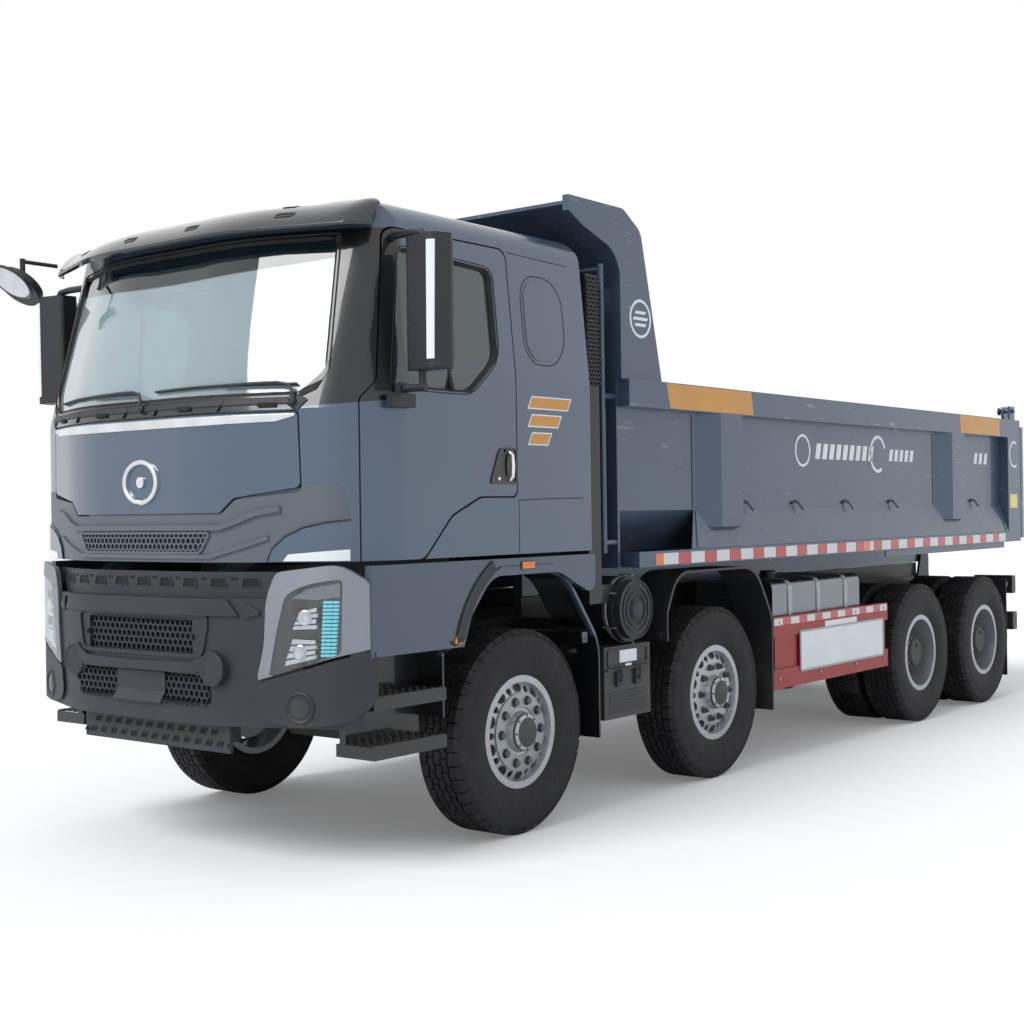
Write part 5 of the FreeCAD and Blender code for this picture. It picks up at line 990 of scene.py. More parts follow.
class TRUCK_OT_cab_front(Operator):
    """Makes the lid's trim, the mask's grille and inserts, the cowl, wipers, visor and front mirror's face"""

    bl_idname = "truck.cab_front"
    bl_label = "Cab front"
    bl_options = {"REGISTER", "UNDO"}

    def execute(self, context):
        sizes = context.scene.truck_sizes
        lid = Skin("front_lid").ahead
        strip = [(-0.930, 2.178), (-0.930, 2.166), (-0.84, 2.142), (-0.42, 2.134), (0.42, 2.134), (0.84, 2.142),
                 (0.930, 2.166), (0.930, 2.178)]
        settle(Form().patch(strip, lid, 0.006, step=0.05), "lid_chrome_strip", "front_lid", ["chrome"],
               bevel=0.002)
        ring = Form()
        centre, wide, tall, steps = (0.015, 1.875), 0.122, 0.100, 64
        section = ((-0.013, -0.002), (-0.012, 0.012), (-0.005, 0.019), (0.005, 0.019), (0.012, 0.012),
                   (0.013, -0.002))
        rings = []
        for k in range(steps):
            u, v = cos(tau * k / steps), sin(tau * k / steps)
            rings.append([lid(centre[0] + (wide + out) * u, centre[1] + (tall + out) * v, proud)
                          for out, proud in section])
        ring.skin_over(rings + [rings[0]], caps=False)
        ring.patch(arc(centre, 0.028, 0, 350, 35), lid, 0.012, step=0.03)
        settle(ring, "lid_ring", "front_lid", ["chrome"], bevel=0.001)

        mask = Skin("front_mask", "front_lid", "cab_shell").ahead
        slot = eased([(-0.50, 1.625, 0.02), (-0.44, 1.530, 0.02), (0.44, 1.530, 0.02), (0.50, 1.625, 0.02)])
        # the near-black sheet behind the grille's mesh is painted shade
        grille = Form().of(0).patch(slot, mask, 0.0015)
        grille.of(1).comb(slot, mask, sizes.comb * 1.1, 0.0045, 0.008, -0.001)
        grille.rim(slot, mask, 0.012, 0.011)
        brow = [(-0.86, 1.735), (-0.74, 1.715), (-0.64, 1.675), (-0.56, 1.650), (0.56, 1.650), (0.64, 1.675),
                (0.74, 1.715), (0.86, 1.735)]
        grille.rim(brow, mask, 0.026, 0.016, whole=False, step=0.05)
        lip = [(-0.80, 1.60), (-0.66, 1.556), (-0.50, 1.512), (0.50, 1.512), (0.66, 1.556), (0.80, 1.60)]
        grille.rim(lip, mask, 0.020, 0.012, whole=False, step=0.05)
        settle(grille, "mask_grille", "cab", ["painted_shade_and_black", "mask_plastic"], bevel=0.0012)
        wing = Form()
        fin = [(0.800, 1.488), (0.825, 1.545), (0.885, 1.600), (0.970, 1.640), (1.070, 1.662), (1.155, 1.672),
               (1.155, 1.488)]
        wing.of(0).patch(fin, mask, 0.012, step=0.03)
        wing.of(1).patch([(0.875, 1.490), (0.900, 1.522), (1.150, 1.542), (1.150, 1.490)], mask, 0.0165,
                         step=0.03)
        wing.of(2).rim([(0.795, 1.486), (0.818, 1.548), (0.880, 1.606), (0.968, 1.647), (1.070, 1.669),
                        (1.150, 1.679)],
                       mask, 0.007, 0.008, whole=False, step=0.03)
        settle(wing.across(), "mask_inserts", "cab", ["bodywork", "lamp_white", "black_trim"],
               bevel=0.002)

        shell = Skin("cab_shell", "windscreen").ahead
        cowl = Form().of(0)
        foot = flipped([(0.945, 2.192), (0.985, 2.24), (0.95, 2.262), (0.90, 2.256), (0.0, 2.252)])
        cowl.patch(foot, shell, 0.008, step=0.05)
        # the cowl's vents are near-black patches: painted shade in the openings
        for u in (-0.78, -0.30, 0.34, 0.80):
            cowl.of(1).patch(oblong((u - 0.045, 2.212), (u + 0.045, 2.232), 0.004), shell, 0.0095, step=0.03)
        for u in (-0.55, -0.12, 0.12, 0.55):
            cowl.of(1).rim([(u, 2.198), (u + 0.03, 2.250)], shell, 0.003, 0.009, whole=False)
        cowl.of(2).rim(SCREEN, shell, 0.034, 0.004, -0.004, step=0.04)
        settle(cowl, "screen_surround", "cab", ["dark_plastic", "painted_shade_and_black", "seal"], bevel=0.001)

        glass = Skin("windscreen", "cab_shell").ahead
        for number, (pivot, low, high) in enumerate(((0.02, -0.86, -0.04), (0.92, 0.10, 0.92))):
            wiper = Form().of(0)
            wiper.turned([(0.020, -0.03), (0.020, 0.0), (0.012, 0.006)], glass(pivot, 2.238, 0.022),
                         (0, -1, 0.25), 20)
            middle = (low + high) / 2 + 0.05
            arm = [(pivot, 2.238, 0.026), (pivot, 2.275, 0.036), (pivot - 0.02, 2.312, 0.040),
                   (pivot - 0.08, 2.325, 0.038), (pivot - 0.22, 2.325, 0.034), (middle, 2.322, 0.026)]
            wiper.bar([glass(*p) for p in arm], 0.008, 8)
            shares = [k / 12 for k in range(13)]
            spine = [glass(low + (high - low) * t, 2.318 + 0.006 * sin(pi * t), 0.017) for t in shares]
            wiper.bar(spine, 0.006, 8)
            wiper.of(1).bar([p + Vector((0, 0.009, -0.004)) for p in spine], 0.0035, 6)
            settle(wiper, f"wiper_{number + 1}", "cab", ["dark_plastic", "seal"])

        plan = Skin("sun_visor").ahead
        profile = [(0.034, 3.052), (0.002, 3.054), (-0.002, 3.066), (0.014, 3.086), (0.060, 3.124),
                   (0.120, 3.160), (0.200, 3.193), (0.290, 3.212), (0.345, 3.214), (0.345, 3.204),
                   (0.290, 3.200), (0.200, 3.180), (0.120, 3.146), (0.060, 3.108), (0.030, 3.078)]
        slope = profile[2:9]

        half, foot = 1.2, 3.06

        def hood_at(u, back, level):
            """The hood's plan follows the visor, and its ends turn in and down."""
            edge = abs(u) / half
            drop = (level - foot) * 0.3 * edge ** 24
            return Vector((u, plan(u, 3.1, 0.0).y + back * (1 - 0.82 * edge ** 10), level - drop))

        def hood(u, back, proud):
            """Lays on the hood's slope, back from its front edge."""
            for one, two in zip(slope, slope[1:]):
                if back <= two[0]:
                    break
            level = one[1] + (two[1] - one[1]) * (back - one[0]) / (two[0] - one[0])
            return hood_at(u, back - proud * 0.6, level + proud * 0.8)

        places = [half * sin(radians(90.0 * k / 28)) for k in range(-28, 29)]
        shell = Form().skin_over([[hood_at(u, *point) for point in profile] for u in places])
        settle(shell, "visor_hood", "cab", ["visor"], ("sun_visor",), bevel=0.002)
        lamps = Form()
        for u, back, long in ((0.24, 0.062, 0.040), (0.78, 0.075, 0.046), (0.70, 0.225, 0.034)):
            for middle in (-u, u):
                oval = oblong((middle - long, back - 0.017), (middle + long, back + 0.017), 0.014)
                lamps.of(0).rim(oval, hood, 0.006, 0.004, step=0.02)
                lamps.of(1).patch(oval, hood, 0.0015, step=0.02)
        settle(lamps, "visor_lamps", "cab", ["black_trim", "painted_shade_and_black"], bevel=0.0008)
        dish = Skin("front_mirror").ahead
        x, z, near = -1.13, 2.99, 0.04
        middle = dish(x, z, 0.0)
        way = (dish(x + near, z, 0.0) - middle).cross(dish(x, z + near, 0.0) - middle)
        way = way if way.y < 0 else -way
        face = Form().turned([(0.112, 0.0), (0.112, 0.003), (0.108, 0.006), (0.0, 0.010)], middle, way, 56)
        face.of(1).turned([(0.123, -0.006), (0.125, 0.004), (0.118, 0.009), (0.110, 0.006), (0.110, -0.002)],
                          middle, way, 56)
        settle(face, "front_mirror_face", "cab", ["reflector", "black_trim"])
        return {"FINISHED"}


# ---------------------------------------------------------------- bumper and lamps


def round_corner(u, v, proud):
    """Lays on the bumper's corner: as the front is up to the bend, then back towards the wing."""
    bend, level, fall = 1.148, 0.97, 1.35
    near = min(u, bend)
    face = Skin("front_bumper").ahead(near, level, 0.0)
    return Vector((u + max(0.0, u - 1.1) * proud * 4.0, face.y + (u - near) * fall - proud, v))


def plate_face(u, v, proud):
    """Lays on the front of the bumper, and below its foot holds the same face upright."""
    return Skin("front_bumper").ahead(u, max(v, 0.80), proud)


class TRUCK_OT_bumper(Operator):
    """Makes the bumper's grilles, brow, corners, bar, slots, sensors, fog lamps and underrun holes"""

    bl_idname = "truck.bumper"
    bl_label = "Bumper"
    bl_options = {"REGISTER", "UNDO"}

    def execute(self, context):
        sizes = context.scene.truck_sizes
        front = Skin("front_bumper").ahead
        form = Form()
        # the near-black sheet behind each grille's mesh is painted shade
        for low, high in (((-0.395, 1.065), (0.395, 1.195)), ((-0.505, 0.825), (0.505, 0.945))):
            outline = oblong(low, high, 0.02)
            form.of(0).patch(outline, front, 0.002)
            form.of(1).comb(outline, front, sizes.comb * 1.25, 0.006, 0.014, 0.001)
        frame_up = eased([(-0.46, 1.040, 0.04), (0.46, 1.040, 0.04), (0.50, 1.235, 0.05), (-0.50, 1.235, 0.05)])
        form.of(1).rim(frame_up, front, 0.020, 0.010, step=0.04)
        settle(form, "bumper_grilles", "chassis", ["painted_shade_and_black", "dark_plastic"], bevel=0.0012)

        brow = Form().patch([(-0.672, 1.232), (0.672, 1.232), (0.612, 1.313), (-0.612, 1.313)], front, 0.016,
                            step=0.05)
        for way in (-1, 1):
            brow.patch([(0.700 * way, 1.222), (0.775 * way, 1.240), (0.770 * way, 1.262), (0.690 * way, 1.300)],
                       front, 0.012, step=0.03)
        settle(brow, "bumper_brow", "chassis", ["dark_plastic"], bevel=0.004)
        corner = eased([(0.752, 0.920, 0.01), (1.018, 0.998, 0.02), (1.236, 1.070, 0.01), (1.240, 0.830, 0.05),
                        (1.160, 0.738, 0.05), (0.940, 0.718, 0.04), (0.780, 0.745, 0.04), (0.722, 0.800, 0.03)])
        settle(Form().patch(corner, round_corner, 0.016, -0.004, step=0.03).across(), "bumper_corners",
               "chassis", ["dark_plastic"], bevel=0.005)

        bar = Form()
        end = [(0.56, 0.905), (0.60, 0.945), (0.61, 0.99), (0.58, 1.045), (0.53, 1.062), (0.48, 1.045),
               (0.40, 1.012)]
        upper = end + [(0.0, 1.004)] + flipped(end)[len(end):]
        lower = [(-0.50, 0.905), (-0.42, 0.958), (0.42, 0.958), (0.50, 0.905)]
        bar.of(1).patch(upper + lower, front, 0.020, step=0.05)
        for u in (-0.535, 0.535):
            middle = front(u, 0.982, 0.0)
            bar.turned([(0.082, 0.010), (0.082, 0.024), (0.077, 0.029), (0.066, 0.029), (0.064, 0.026),
                        (0.0, 0.030)],
                       middle, (0.0, -1, 0), 40)
        bar.of(1).patch(oblong((-0.185, 0.760), (0.185, 0.950), 0.012), plate_face, 0.020, 0.012)
        settle(bar, "bumper_bar", "chassis", ["painted_shade_and_black", "dark_plastic"], bevel=0.004)

        slots = Form()
        # the slots are near-black patches: painted shade in the openings
        for k in range(-4, 5):
            u = k * 0.175
            slot = [(u - 0.05, 1.365), (u + 0.05, 1.365), (u + 0.036, 1.412), (u - 0.036, 1.412)]
            slots.of(1).rim(eased([(*p, 0.008) for p in slot]), front, 0.006, 0.004, step=0.03)
            slots.of(0).patch(slot, front, 0.001)
            if k < 4:
                slots.of(0).patch(oblong((u + 0.070, 1.402), (u + 0.105, 1.414), 0.003), front, 0.0015)
        settle(slots, "step_plate_slots", "chassis", ["painted_shade_and_black", "dark_plastic"])

        marks = Form()
        for u, v in ((0.80, 1.155), (0.84, 0.905)):
            middle = front(u, v, 0.0)
            marks.of(1).turned([(0.022, -0.004), (0.022, 0.002), (0.017, 0.004), (0.015, 0.001)], middle,
                               (0.15, -1, 0), 24)
            marks.of(0).turned([(0.013, -0.002), (0.013, 0.004), (0.0, 0.005)], middle, (0.15, -1, 0), 20)
        settle(marks.across(), "parking_sensors", "chassis", ["painted_shade_and_black", "dark_plastic"])

        fog = Form()
        middle = round_corner(0.965, 0.812, 0.016)
        fog.of(0).turned([(0.074, -0.02), (0.074, 0.004), (0.068, 0.008), (0.060, 0.002), (0.050, -0.008)],
                         middle, (0.35, -1, 0), 40)
        fog.of(1).turned([(0.050, -0.016), (0.048, -0.002), (0.034, -0.010), (0.0, -0.012)], middle,
                         (0.35, -1, 0), 32)
        fog.of(2).turned([(0.0475, -0.006), (0.046, 0.002), (0.030, 0.006), (0.0, 0.0075)], middle,
                         (0.35, -1, 0), 32)
        settle(fog.across(), "fog_lamps", "chassis", ["dark_plastic", "reflector", "lamp_glass"])

        under = Form()
        level = front(0.0, 0.65, 0.0).y
        face = flat_on("Y", level, -1)
        pitch, rise = 0.082, 0.055
        # the holes are near-black patches: painted shade of the space behind the plate
        for row in range(3):
            for k in range(-6, 7):
                u, v = k * pitch + (row % 2) * pitch / 2, 0.615 + row * rise
                if abs(u) < 0.53:
                    under.of(0).patch(slanted(u, v, 0.024, 0.012, 0.012), face, 0.001, -0.001)
                    under.of(1).rim(slanted(u, v, 0.026, 0.013, 0.014), face, 0.003, 0.003, -0.001)
        for u in (-0.545, 0.545):
            for v in (0.61, 0.73):
                under.of(1).turned([(0.012, 0), (0.012, 0.004), (0.0095, 0.005), (0.0095, 0.012)],
                                   (u, level, v), (0, -1, 0), 6)
        settle(under, "underrun_plate_holes", "chassis", ["painted_shade_and_black", "frame_paint"])
        return {"FINISHED"}


class TRUCK_OT_headlights(Operator):
    """Makes the headlights: housing, reflectors, light blades and clear cover"""

    bl_idname = "truck.headlights"
    bl_label = "Headlights"
    bl_options = {"REGISTER", "UNDO"}

    def execute(self, context):
        face, deep_from, well_depth = round_corner, 0.945, 0.036
        lens = eased([(0.824, 0.953, 0.02), (0.843, 1.060, 0.05), (0.862, 1.162, 0.05), (0.888, 1.264, 0.05),
                      (0.905, 1.335, 0.05), (1.001, 1.382, 0.05), (1.150, 1.408, 0.02), (1.147, 1.230, 0.02),
                      (1.145, 1.063, 0.02), (0.995, 1.007, 0.03)])
        surround = eased([(0.760, 0.935, 0.01), (0.797, 1.094, 0.05), (0.809, 1.317, 0.05),
                          (0.857, 1.440, 0.03), (1.138, 1.474, 0.04), (1.227, 1.384, 0.03),
                          (1.232, 1.227, 0.02), (1.229, 1.082, 0.01), (1.018, 1.013, 0.02)])

        def well(u, v, proud):
            """Lays on the housing's floor, which is deeper behind the light blades."""
            return face(u, v, proud - (well_depth if u > deep_from else 0.0))

        case = Form().of(1)
        outer, inner = evened(surround, 72), evened(lens, 72)
        rings = [[face(*point, proud) for point in outline] for outline, proud in
                 ((outer, -0.012), (outer, 0.016), (inner, 0.022), (inner, -0.006))]
        case.skin_over(rings + [rings[0]], caps=False)
        case.of(0).patch(lens, well, 0.003, -0.004, step=0.02)
        for facet in ([(0.931, 1.174), (0.965, 1.262), (1.048, 1.285), (1.040, 1.178)],
                      [(0.890, 1.005), (0.935, 1.140), (1.040, 1.132), (1.036, 1.041)]):
            low, high, far_high, far_low = (Vector(corner) for corner in facet)
            for k in range(4):
                shares = (k / 4, (k + 0.72) / 4)
                one, two = (low.lerp(high, t) for t in shares)
                near, far = (far_low.lerp(far_high, t) for t in shares)
                case.of(2 if k % 2 else 3).patch([tuple(p) for p in (one, near, far, two)],
                                                 face, 0.009 + 0.002 * (k % 2), -0.002, step=0.02)
            middle = (low + far_high) / 2
            case.of(2).turned([(0.036, 0.0), (0.036, 0.004), (0.030, 0.007), (0.012, 0.003), (0.0, 0.003)],
                              face(middle.x, middle.y, 0.010), (0.35, -1, 0), 36)
        case.of(1).patch([(0.925, 1.318), (1.004, 1.362), (1.138, 1.388), (1.138, 1.325), (1.040, 1.312)], face,
                         0.008, step=0.02)
        case.of(4)
        for k in range(15):
            v = 1.050 + k * 0.0175
            for u in (1.062, 1.083, 1.104):
                case.patch(oblong((u + k * 0.001, v), (u + 0.016 + k * 0.001, v + 0.012), 0.003), face, 0.010,
                           0.0, step=0.03)
        settle(case.across(), "headlight_insides", "chassis",
               ["black_trim", "lamp_surround", "reflector", "lamp_white", "lamp_cyan"],
               ("headlights",))
        cover = Form().patch(lens, face, 0.0195, 0.0175, step=0.03)
        settle(cover.across(), "headlight_covers", "chassis", ["lamp_glass"])
        return {"FINISHED"}


# ---------------------------------------------------------------- cab sides

WINDOW = eased([(-3.922, 2.302, 0.04), (-3.365, 2.302, 0.06), (-3.137, 2.490, 0.09), (-3.137, 2.948, 0.06),
                (-3.828, 2.978, 0.05)])


def on_hand(lay, hand):
    """The same laying, on the left or its image on the right."""

    def place(u, v, proud):
        point = lay(u, v, proud)
        return Vector((point.x * hand, point.y, point.z))

    return place


class TRUCK_OT_doors(Operator):
    """Makes what is on the doors: window rubbers, handles, and the mirrors' upper arms and faces"""

    bl_idname = "truck.doors"
    bl_label = "Doors"
    bl_options = {"REGISTER", "UNDO"}

    def execute(self, context):
        leaf = Skin("door_left", "door_glass_left").beside
        for side, hand in SIDES:
            body, lay = f"door_{side}", on_hand(leaf, hand)
            rubber_ring = Form().rim(WINDOW, lay, 0.026, 0.005, -0.012, step=0.04)
            rubber_ring.rim([(-3.50, 2.30), (-3.50, 2.972)], lay, 0.022, 0.004, -0.01, whole=False)
            settle(rubber_ring, f"window_rubber_{side}", body, ["seal"], bevel=0.001)

            handle = Form()
            cup = eased([(-3.222, 1.853, 0.02), (-3.014, 1.853, 0.02), (-3.014, 2.030, 0.02),
                         (-3.145, 2.030, 0.03)])
            handle.of(0).patch(cup, lay, 0.002, step=0.04).rim(cup, lay, 0.010, 0.007, step=0.03)
            handle.of(1).bar([lay(-3.070, 1.870, 0.006), lay(-3.070, 1.885, 0.024), lay(-3.070, 1.940, 0.028),
                              lay(-3.070, 1.995, 0.024), lay(-3.070, 2.010, 0.006)], 0.011, 12)
            handle.of(1).turned([(0.010, 0.0), (0.010, 0.004), (0.0, 0.005)], lay(-3.150, 1.875, -0.002),
                                (hand, 0, 0), 20)
            settle(handle, f"door_handle_{side}", body, ["black_trim", "chrome"], bevel=0.002)

            root = [lay(-3.855, 3.020, -0.004), lay(-3.880, 3.022, 0.030) + Vector((0.03 * hand, 0, 0))]
            reach = [(x * hand, y, z) for x, y, z in
                     ((1.330, -3.895, 3.020), (1.400, -3.900, 3.012), (1.425, -3.900, 2.985))]
            arm = Form().bar(root + reach, 0.019, 14)
            settle(arm, f"mirror_upper_arm_{side}", body, ["mirror_plastic"])

            skin = Skin(f"mirror_{side}")
            front, back = skin.ahead, skin.behind
            middle, half = 1.45 * hand, 0.019
            foot, top = middle + 0.060 * hand, middle + 0.066 * hand
            faces = Form()
            faces.of(0).patch([(foot - half, 2.41), (foot + half, 2.41), (top + half, 2.955),
                               (top - half, 2.955)],
                              front, 0.004, step=0.04)
            faces.of(1).rim([(middle - 0.105, 2.565), (middle + 0.105, 2.565)], front, 0.004, 0.0012,
                            whole=False, step=0.03)
            for foot, top in ((2.395, 2.560), (2.580, 2.965)):
                pane = oblong((middle - 0.098, foot), (middle + 0.098, top), 0.02)
                faces.of(1).rim(pane, back, 0.012, 0.006, step=0.04)
                faces.of(2).patch(pane, back, 0.003, step=0.05)
            settle(faces, f"mirror_faces_{side}", body, ["marking", "black_trim", "reflector"],
                   bevel=0.001)
        return {"FINISHED"}


class TRUCK_OT_cab_sides(Operator):
    """Makes what is on the cab's sides: blind panels, seams, markings, markers, arch lips and intake mesh"""

    bl_idname = "truck.cab_sides"
    bl_label = "Cab sides"
    bl_options = {"REGISTER", "UNDO"}

    def execute(self, context):
        shell = Skin("cab_shell").beside
        blind = eased([(-2.905, 2.560, 0.05), (-2.830, 2.480, 0.04), (-2.640, 2.480, 0.08),
                       (-2.540, 2.60, 0.08), (-2.540, 2.860, 0.08), (-2.640, 2.955, 0.08),
                       (-2.830, 2.955, 0.06), (-2.905, 2.870, 0.06)])
        for side, hand in SIDES:
            lay = on_hand(shell, hand)
            form = Form()
            form.of(0).rim(blind, lay, 0.006, 0.0015, step=0.03)
            form.of(1).patch(grown(blind, -0.022), lay, 0.0045, -0.002, step=0.04)
            form.of(0).rim([(-2.99, 1.764), (-2.70, 1.772), (-2.42, 1.774)], lay, 0.005, 0.0012, whole=False)
            form.of(0).rim([(-2.990, 1.492), (-2.990, 1.764)], lay, 0.005, 0.0012, whole=False)
            form.of(0).rim([(-2.985, 3.058), (-2.75, 3.052), (-2.46, 3.045)], lay, 0.005, 0.0012, whole=False,
                           step=0.04)
            settle(form, f"blind_panel_{side}", "cab", ["seal", "bodywork"], bevel=0.0015)

            mark = Form()
            for k, long in enumerate((0.34, 0.25, 0.16)):
                top = 2.305 - k * 0.095
                band = leaning(-2.895, top - 0.055, top, long, 0.030)
                mark.of(1).patch(grown(band, 0.007), lay, 0.0008, step=0.05)
                mark.of(0).patch(band, lay, 0.0015, step=0.05)
            settle(mark, f"side_marking_{side}", "cab", ["stripe", "marking"])

        wings = Skin("front_fenders").beside
        form = Form()
        form.of(0).patch(oblong((-2.975, 1.408), (-2.870, 1.442), 0.006), wings, 0.008, step=0.03)
        form.of(1).patch(oblong((-2.982, 1.401), (-2.863, 1.449), 0.009), wings, 0.004, step=0.03)
        form.of(0).patch([(-3.525, 1.060), (-3.478, 1.055), (-3.430, 1.165), (-3.462, 1.170)], wings, 0.008,
                         step=0.03)
        settle(form.across(), "wing_markers", "chassis", ["lamp_amber", "black_trim"], bevel=0.0015)

        lip = Form()
        curve = [(-3.555, 1.045)] + arc((AXLES["front"], 0.90), 0.62, 168, 95, 14) + [(-2.70, 1.500)]
        arch = [(u, min(v, 1.455)) for u, v in curve]
        lip.rim(arch, wings, 0.060, 0.010, -0.004, whole=False, step=0.05)
        settle(lip.across(), "arch_lips", "chassis", ["dark_plastic"], bevel=0.003)

        mesh = Form()
        low, high, edge = Vector((0.99, -2.29, 2.42)), Vector((1.185, -2.17, 3.02)), 0.006
        side_face = oblong((low.y + edge, low.z), (high.y - edge, high.z))
        # the near-black sheets behind the intake's mesh are painted shade
        mesh.of(0).patch(side_face, flat_on("X", high.x), 0.0015)
        mesh.of(1).comb(side_face, flat_on("X", high.x), 0.026, 0.004, 0.008, 0.001)
        front_face = oblong((low.x + edge, low.z), (high.x - edge, high.z))
        for y, way in ((low.y, -1), (high.y, 1)):
            mesh.of(0).patch(front_face, flat_on("Y", y, way), 0.0015)
            mesh.of(1).comb(front_face, flat_on("Y", y, way), 0.026, 0.004, 0.008, 0.001)
        settle(mesh, "intake_mesh", "chassis", ["painted_shade_and_black", "frame_paint"])
        return {"FINISHED"}


# ---------------------------------------------------------------- bed

FILM = 0.0012  # how far films and markings stand out


def skirt_face(u, v, proud):
    """Lays on the bed's sloping skirt: v is 0 at its upper edge and 1 at its lower one."""
    return Vector((1.172 + 0.078 * v + proud, u, 1.702 - 0.240 * v + proud * 0.3))


class TRUCK_OT_bed(Operator):
    """Makes what is on the bed: stripes, markings, film, sheet hooks, skirts, edge plates and welds"""

    bl_idname = "truck.bed"
    bl_label = "Bed"
    bl_options = {"REGISTER", "UNDO"}

    def execute(self, context):
        sizes = context.scene.truck_sizes
        rail = Skin("bed_tub").beside
        wall = Skin("bed_tub", "bed_front").beside
        stripes = Form()
        for rear, front, lean in ((-1.566, -0.546, 0.042), (2.972, 3.878, 0.016)):
            stripes.patch([(rear + lean, 2.306), (front + lean * 0.7, 2.306), (front, 2.454), (rear, 2.454)],
                          rail, FILM, step=0.5)
        settle(stripes.across(), "rail_stripes", "bed", ["stripe"])

        marks = Form()
        u, v = -1.775, 2.82
        marks.rim(arc((u, v), 0.105, 0, 350, 35), wall, 0.016, FILM, step=0.1)
        for k, half in enumerate((0.055, 0.075, 0.055)):
            foot = v + 0.027 - k * 0.036
            marks.patch(leaning(u - half - 0.008, foot, foot + 0.018, 2 * half, 0.016), wall, FILM, step=0.1)
        marks.rim(arc((0.315, 2.10), 0.105, 0, 350, 35), wall, 0.018, FILM, step=0.1)
        marks.rim(arc((1.54, 2.10), 0.130, 20, 300, 28), wall, 0.024, FILM, whole=False, step=0.1)
        for start, count, pitch, foot, top, long, lean in (
            (0.500, 9, 0.108, 2.045, 2.155, 0.070, 0.030),
            (1.735, 5, 0.096, 2.050, 2.140, 0.060, 0.025),
            (3.470, 3, 0.115, 2.055, 2.150, 0.065, 0.030),
        ):
            for k in range(count):
                marks.patch(leaning(start + k * pitch, foot, top, long, lean), wall, FILM, step=0.2)
        marks.rim(arc((4.235, 2.15), 0.11, 60, 300, 20), wall, 0.020, FILM, whole=False, step=0.1)
        settle(marks.across(), "bed_markings", "bed", ["marking"])

        film = Form()
        start, last, pitch = -1.458, 4.150, sizes.block * 2.06
        blocks = [(2, -1.706, -1.622, FILM), (1, -1.622, start, FILM)]
        for k in range(18):
            y = start + k * pitch
            blocks += [(0, y, y + sizes.block, FILM), (1, y + sizes.block, y + pitch, FILM)]
        blocks.append((2, 1.118, 1.205, FILM * 1.5))
        for number, y, end, top in blocks:
            end = min(end, last)
            if y < end:
                film.of(number).patch(oblong((y, 1.378), (end, 1.446)), rail, top, -0.001, step=1.0)
        settle(film.across(), "bed_film", "bed", ["film_red", "film_white", "film_amber"])

        hooks = Form()
        for y in (-0.515, 0.185, 0.965, 1.755, 3.42):
            top = wall(y, 1.735, 0.0)
            hooks.bar([top + Vector(p) for p in (
                (-0.004, -0.055, -0.010), (0.014, -0.050, 0.004), (0.020, -0.010, 0.010),
                (0.024, 0.020, -0.006), (0.034, 0.038, -0.030), (0.044, 0.042, -0.048),
            )], 0.006, 8)
            hooks.bar([top + Vector((0.0, 0.004, 0.012)), top + Vector((0.026, 0.004, 0.004))], 0.010, 10)
        settle(hooks.across(), "sheet_hooks", "bed", ["frame_paint"])

        skirt = Form()
        skirt.patch([(-1.150, 0.0), (4.090, 0.0), (4.090, 1.0), (-1.300, 1.0)], skirt_face, 0.0, -0.006,
                    step=0.5)
        for upper, lower in ((-1.12, -1.22), (4.03, 4.03)):
            skirt.rim([(upper, 0.03), (lower, 0.97)], skirt_face, 0.030, 0.006, whole=False, step=0.3)
        settle(skirt.across(), "bed_skirts", "bed", ["bed_paint"], bevel=0.002)

        edges = Form()
        edges.of(0).patch(oblong((1.585, 1.318), (4.085, 1.366), 0.004), flat_on("X", 1.20), 0.006, -0.004,
                          step=1.0)
        for y in (1.75, 2.55, 3.30, 3.95):
            edges.slab((1.14, y - 0.03, 1.320), (1.199, y + 0.03, 1.372))
        for u in (-1.155, -0.565, 2.585, 3.175):
            edges.rim([(u, 1.60), (u, 2.285)], wall, 0.010, 0.005, -0.003, whole=False, step=0.1)
        edges.of(2).patch(oblong((4.125, 1.672), (4.300, 1.792), 0.006), wall, 0.0014, step=0.3)
        settle(edges.across(), "bed_edge_plates", "bed", ["bed_paint", "seal", "label"],
               bevel=0.002)

        welds = Form()
        for y in (-1.14, -0.58, 2.60, 3.16, 4.07):
            for k in range(46):
                v = 1.62 + k * 0.0145
                welds.turned([(0.0045, -0.002), (0.0035, 0.0025), (0.0, 0.003)], wall(y, v, 0.0), (1, 0, 0), 6)
        settle(welds.across(), "rib_welds", "bed", ["bed_paint"])
        return {"FINISHED"}


class TRUCK_OT_tailgate(Operator):
    """Makes the tailgate's film and the caps of its hinge pins"""

    bl_idname = "truck.tailgate"
    bl_label = "Tailgate"
    bl_options = {"REGISTER", "UNDO"}

    def execute(self, context):
        gate = Skin("tailgate").behind
        form, long = Form(), 0.15
        for k in range(12):
            u = -0.90 + k * long
            form.of(k % 2).patch(oblong((u, 1.432), (u + long, 1.486)), gate, 0.0015, -0.001, step=0.4)
        settle(form, "tailgate_film", "tailgate", ["film_red", "film_white"])
        pins = Form()
        for _, hand in reversed(SIDES):
            for x in (1.085, 1.185):
                pins.turned([(0.034, 0.0), (0.034, 0.010), (0.026, 0.013), (0.024, 0.020), (0.0, 0.022)],
                            (x * hand, 4.315, 2.545), (hand, 0, 0), 24)
        settle(pins, "tailgate_pin_caps", "tailgate", ["frame_paint"])
        return {"FINISHED"}


# ---------------------------------------------------------------- chassis


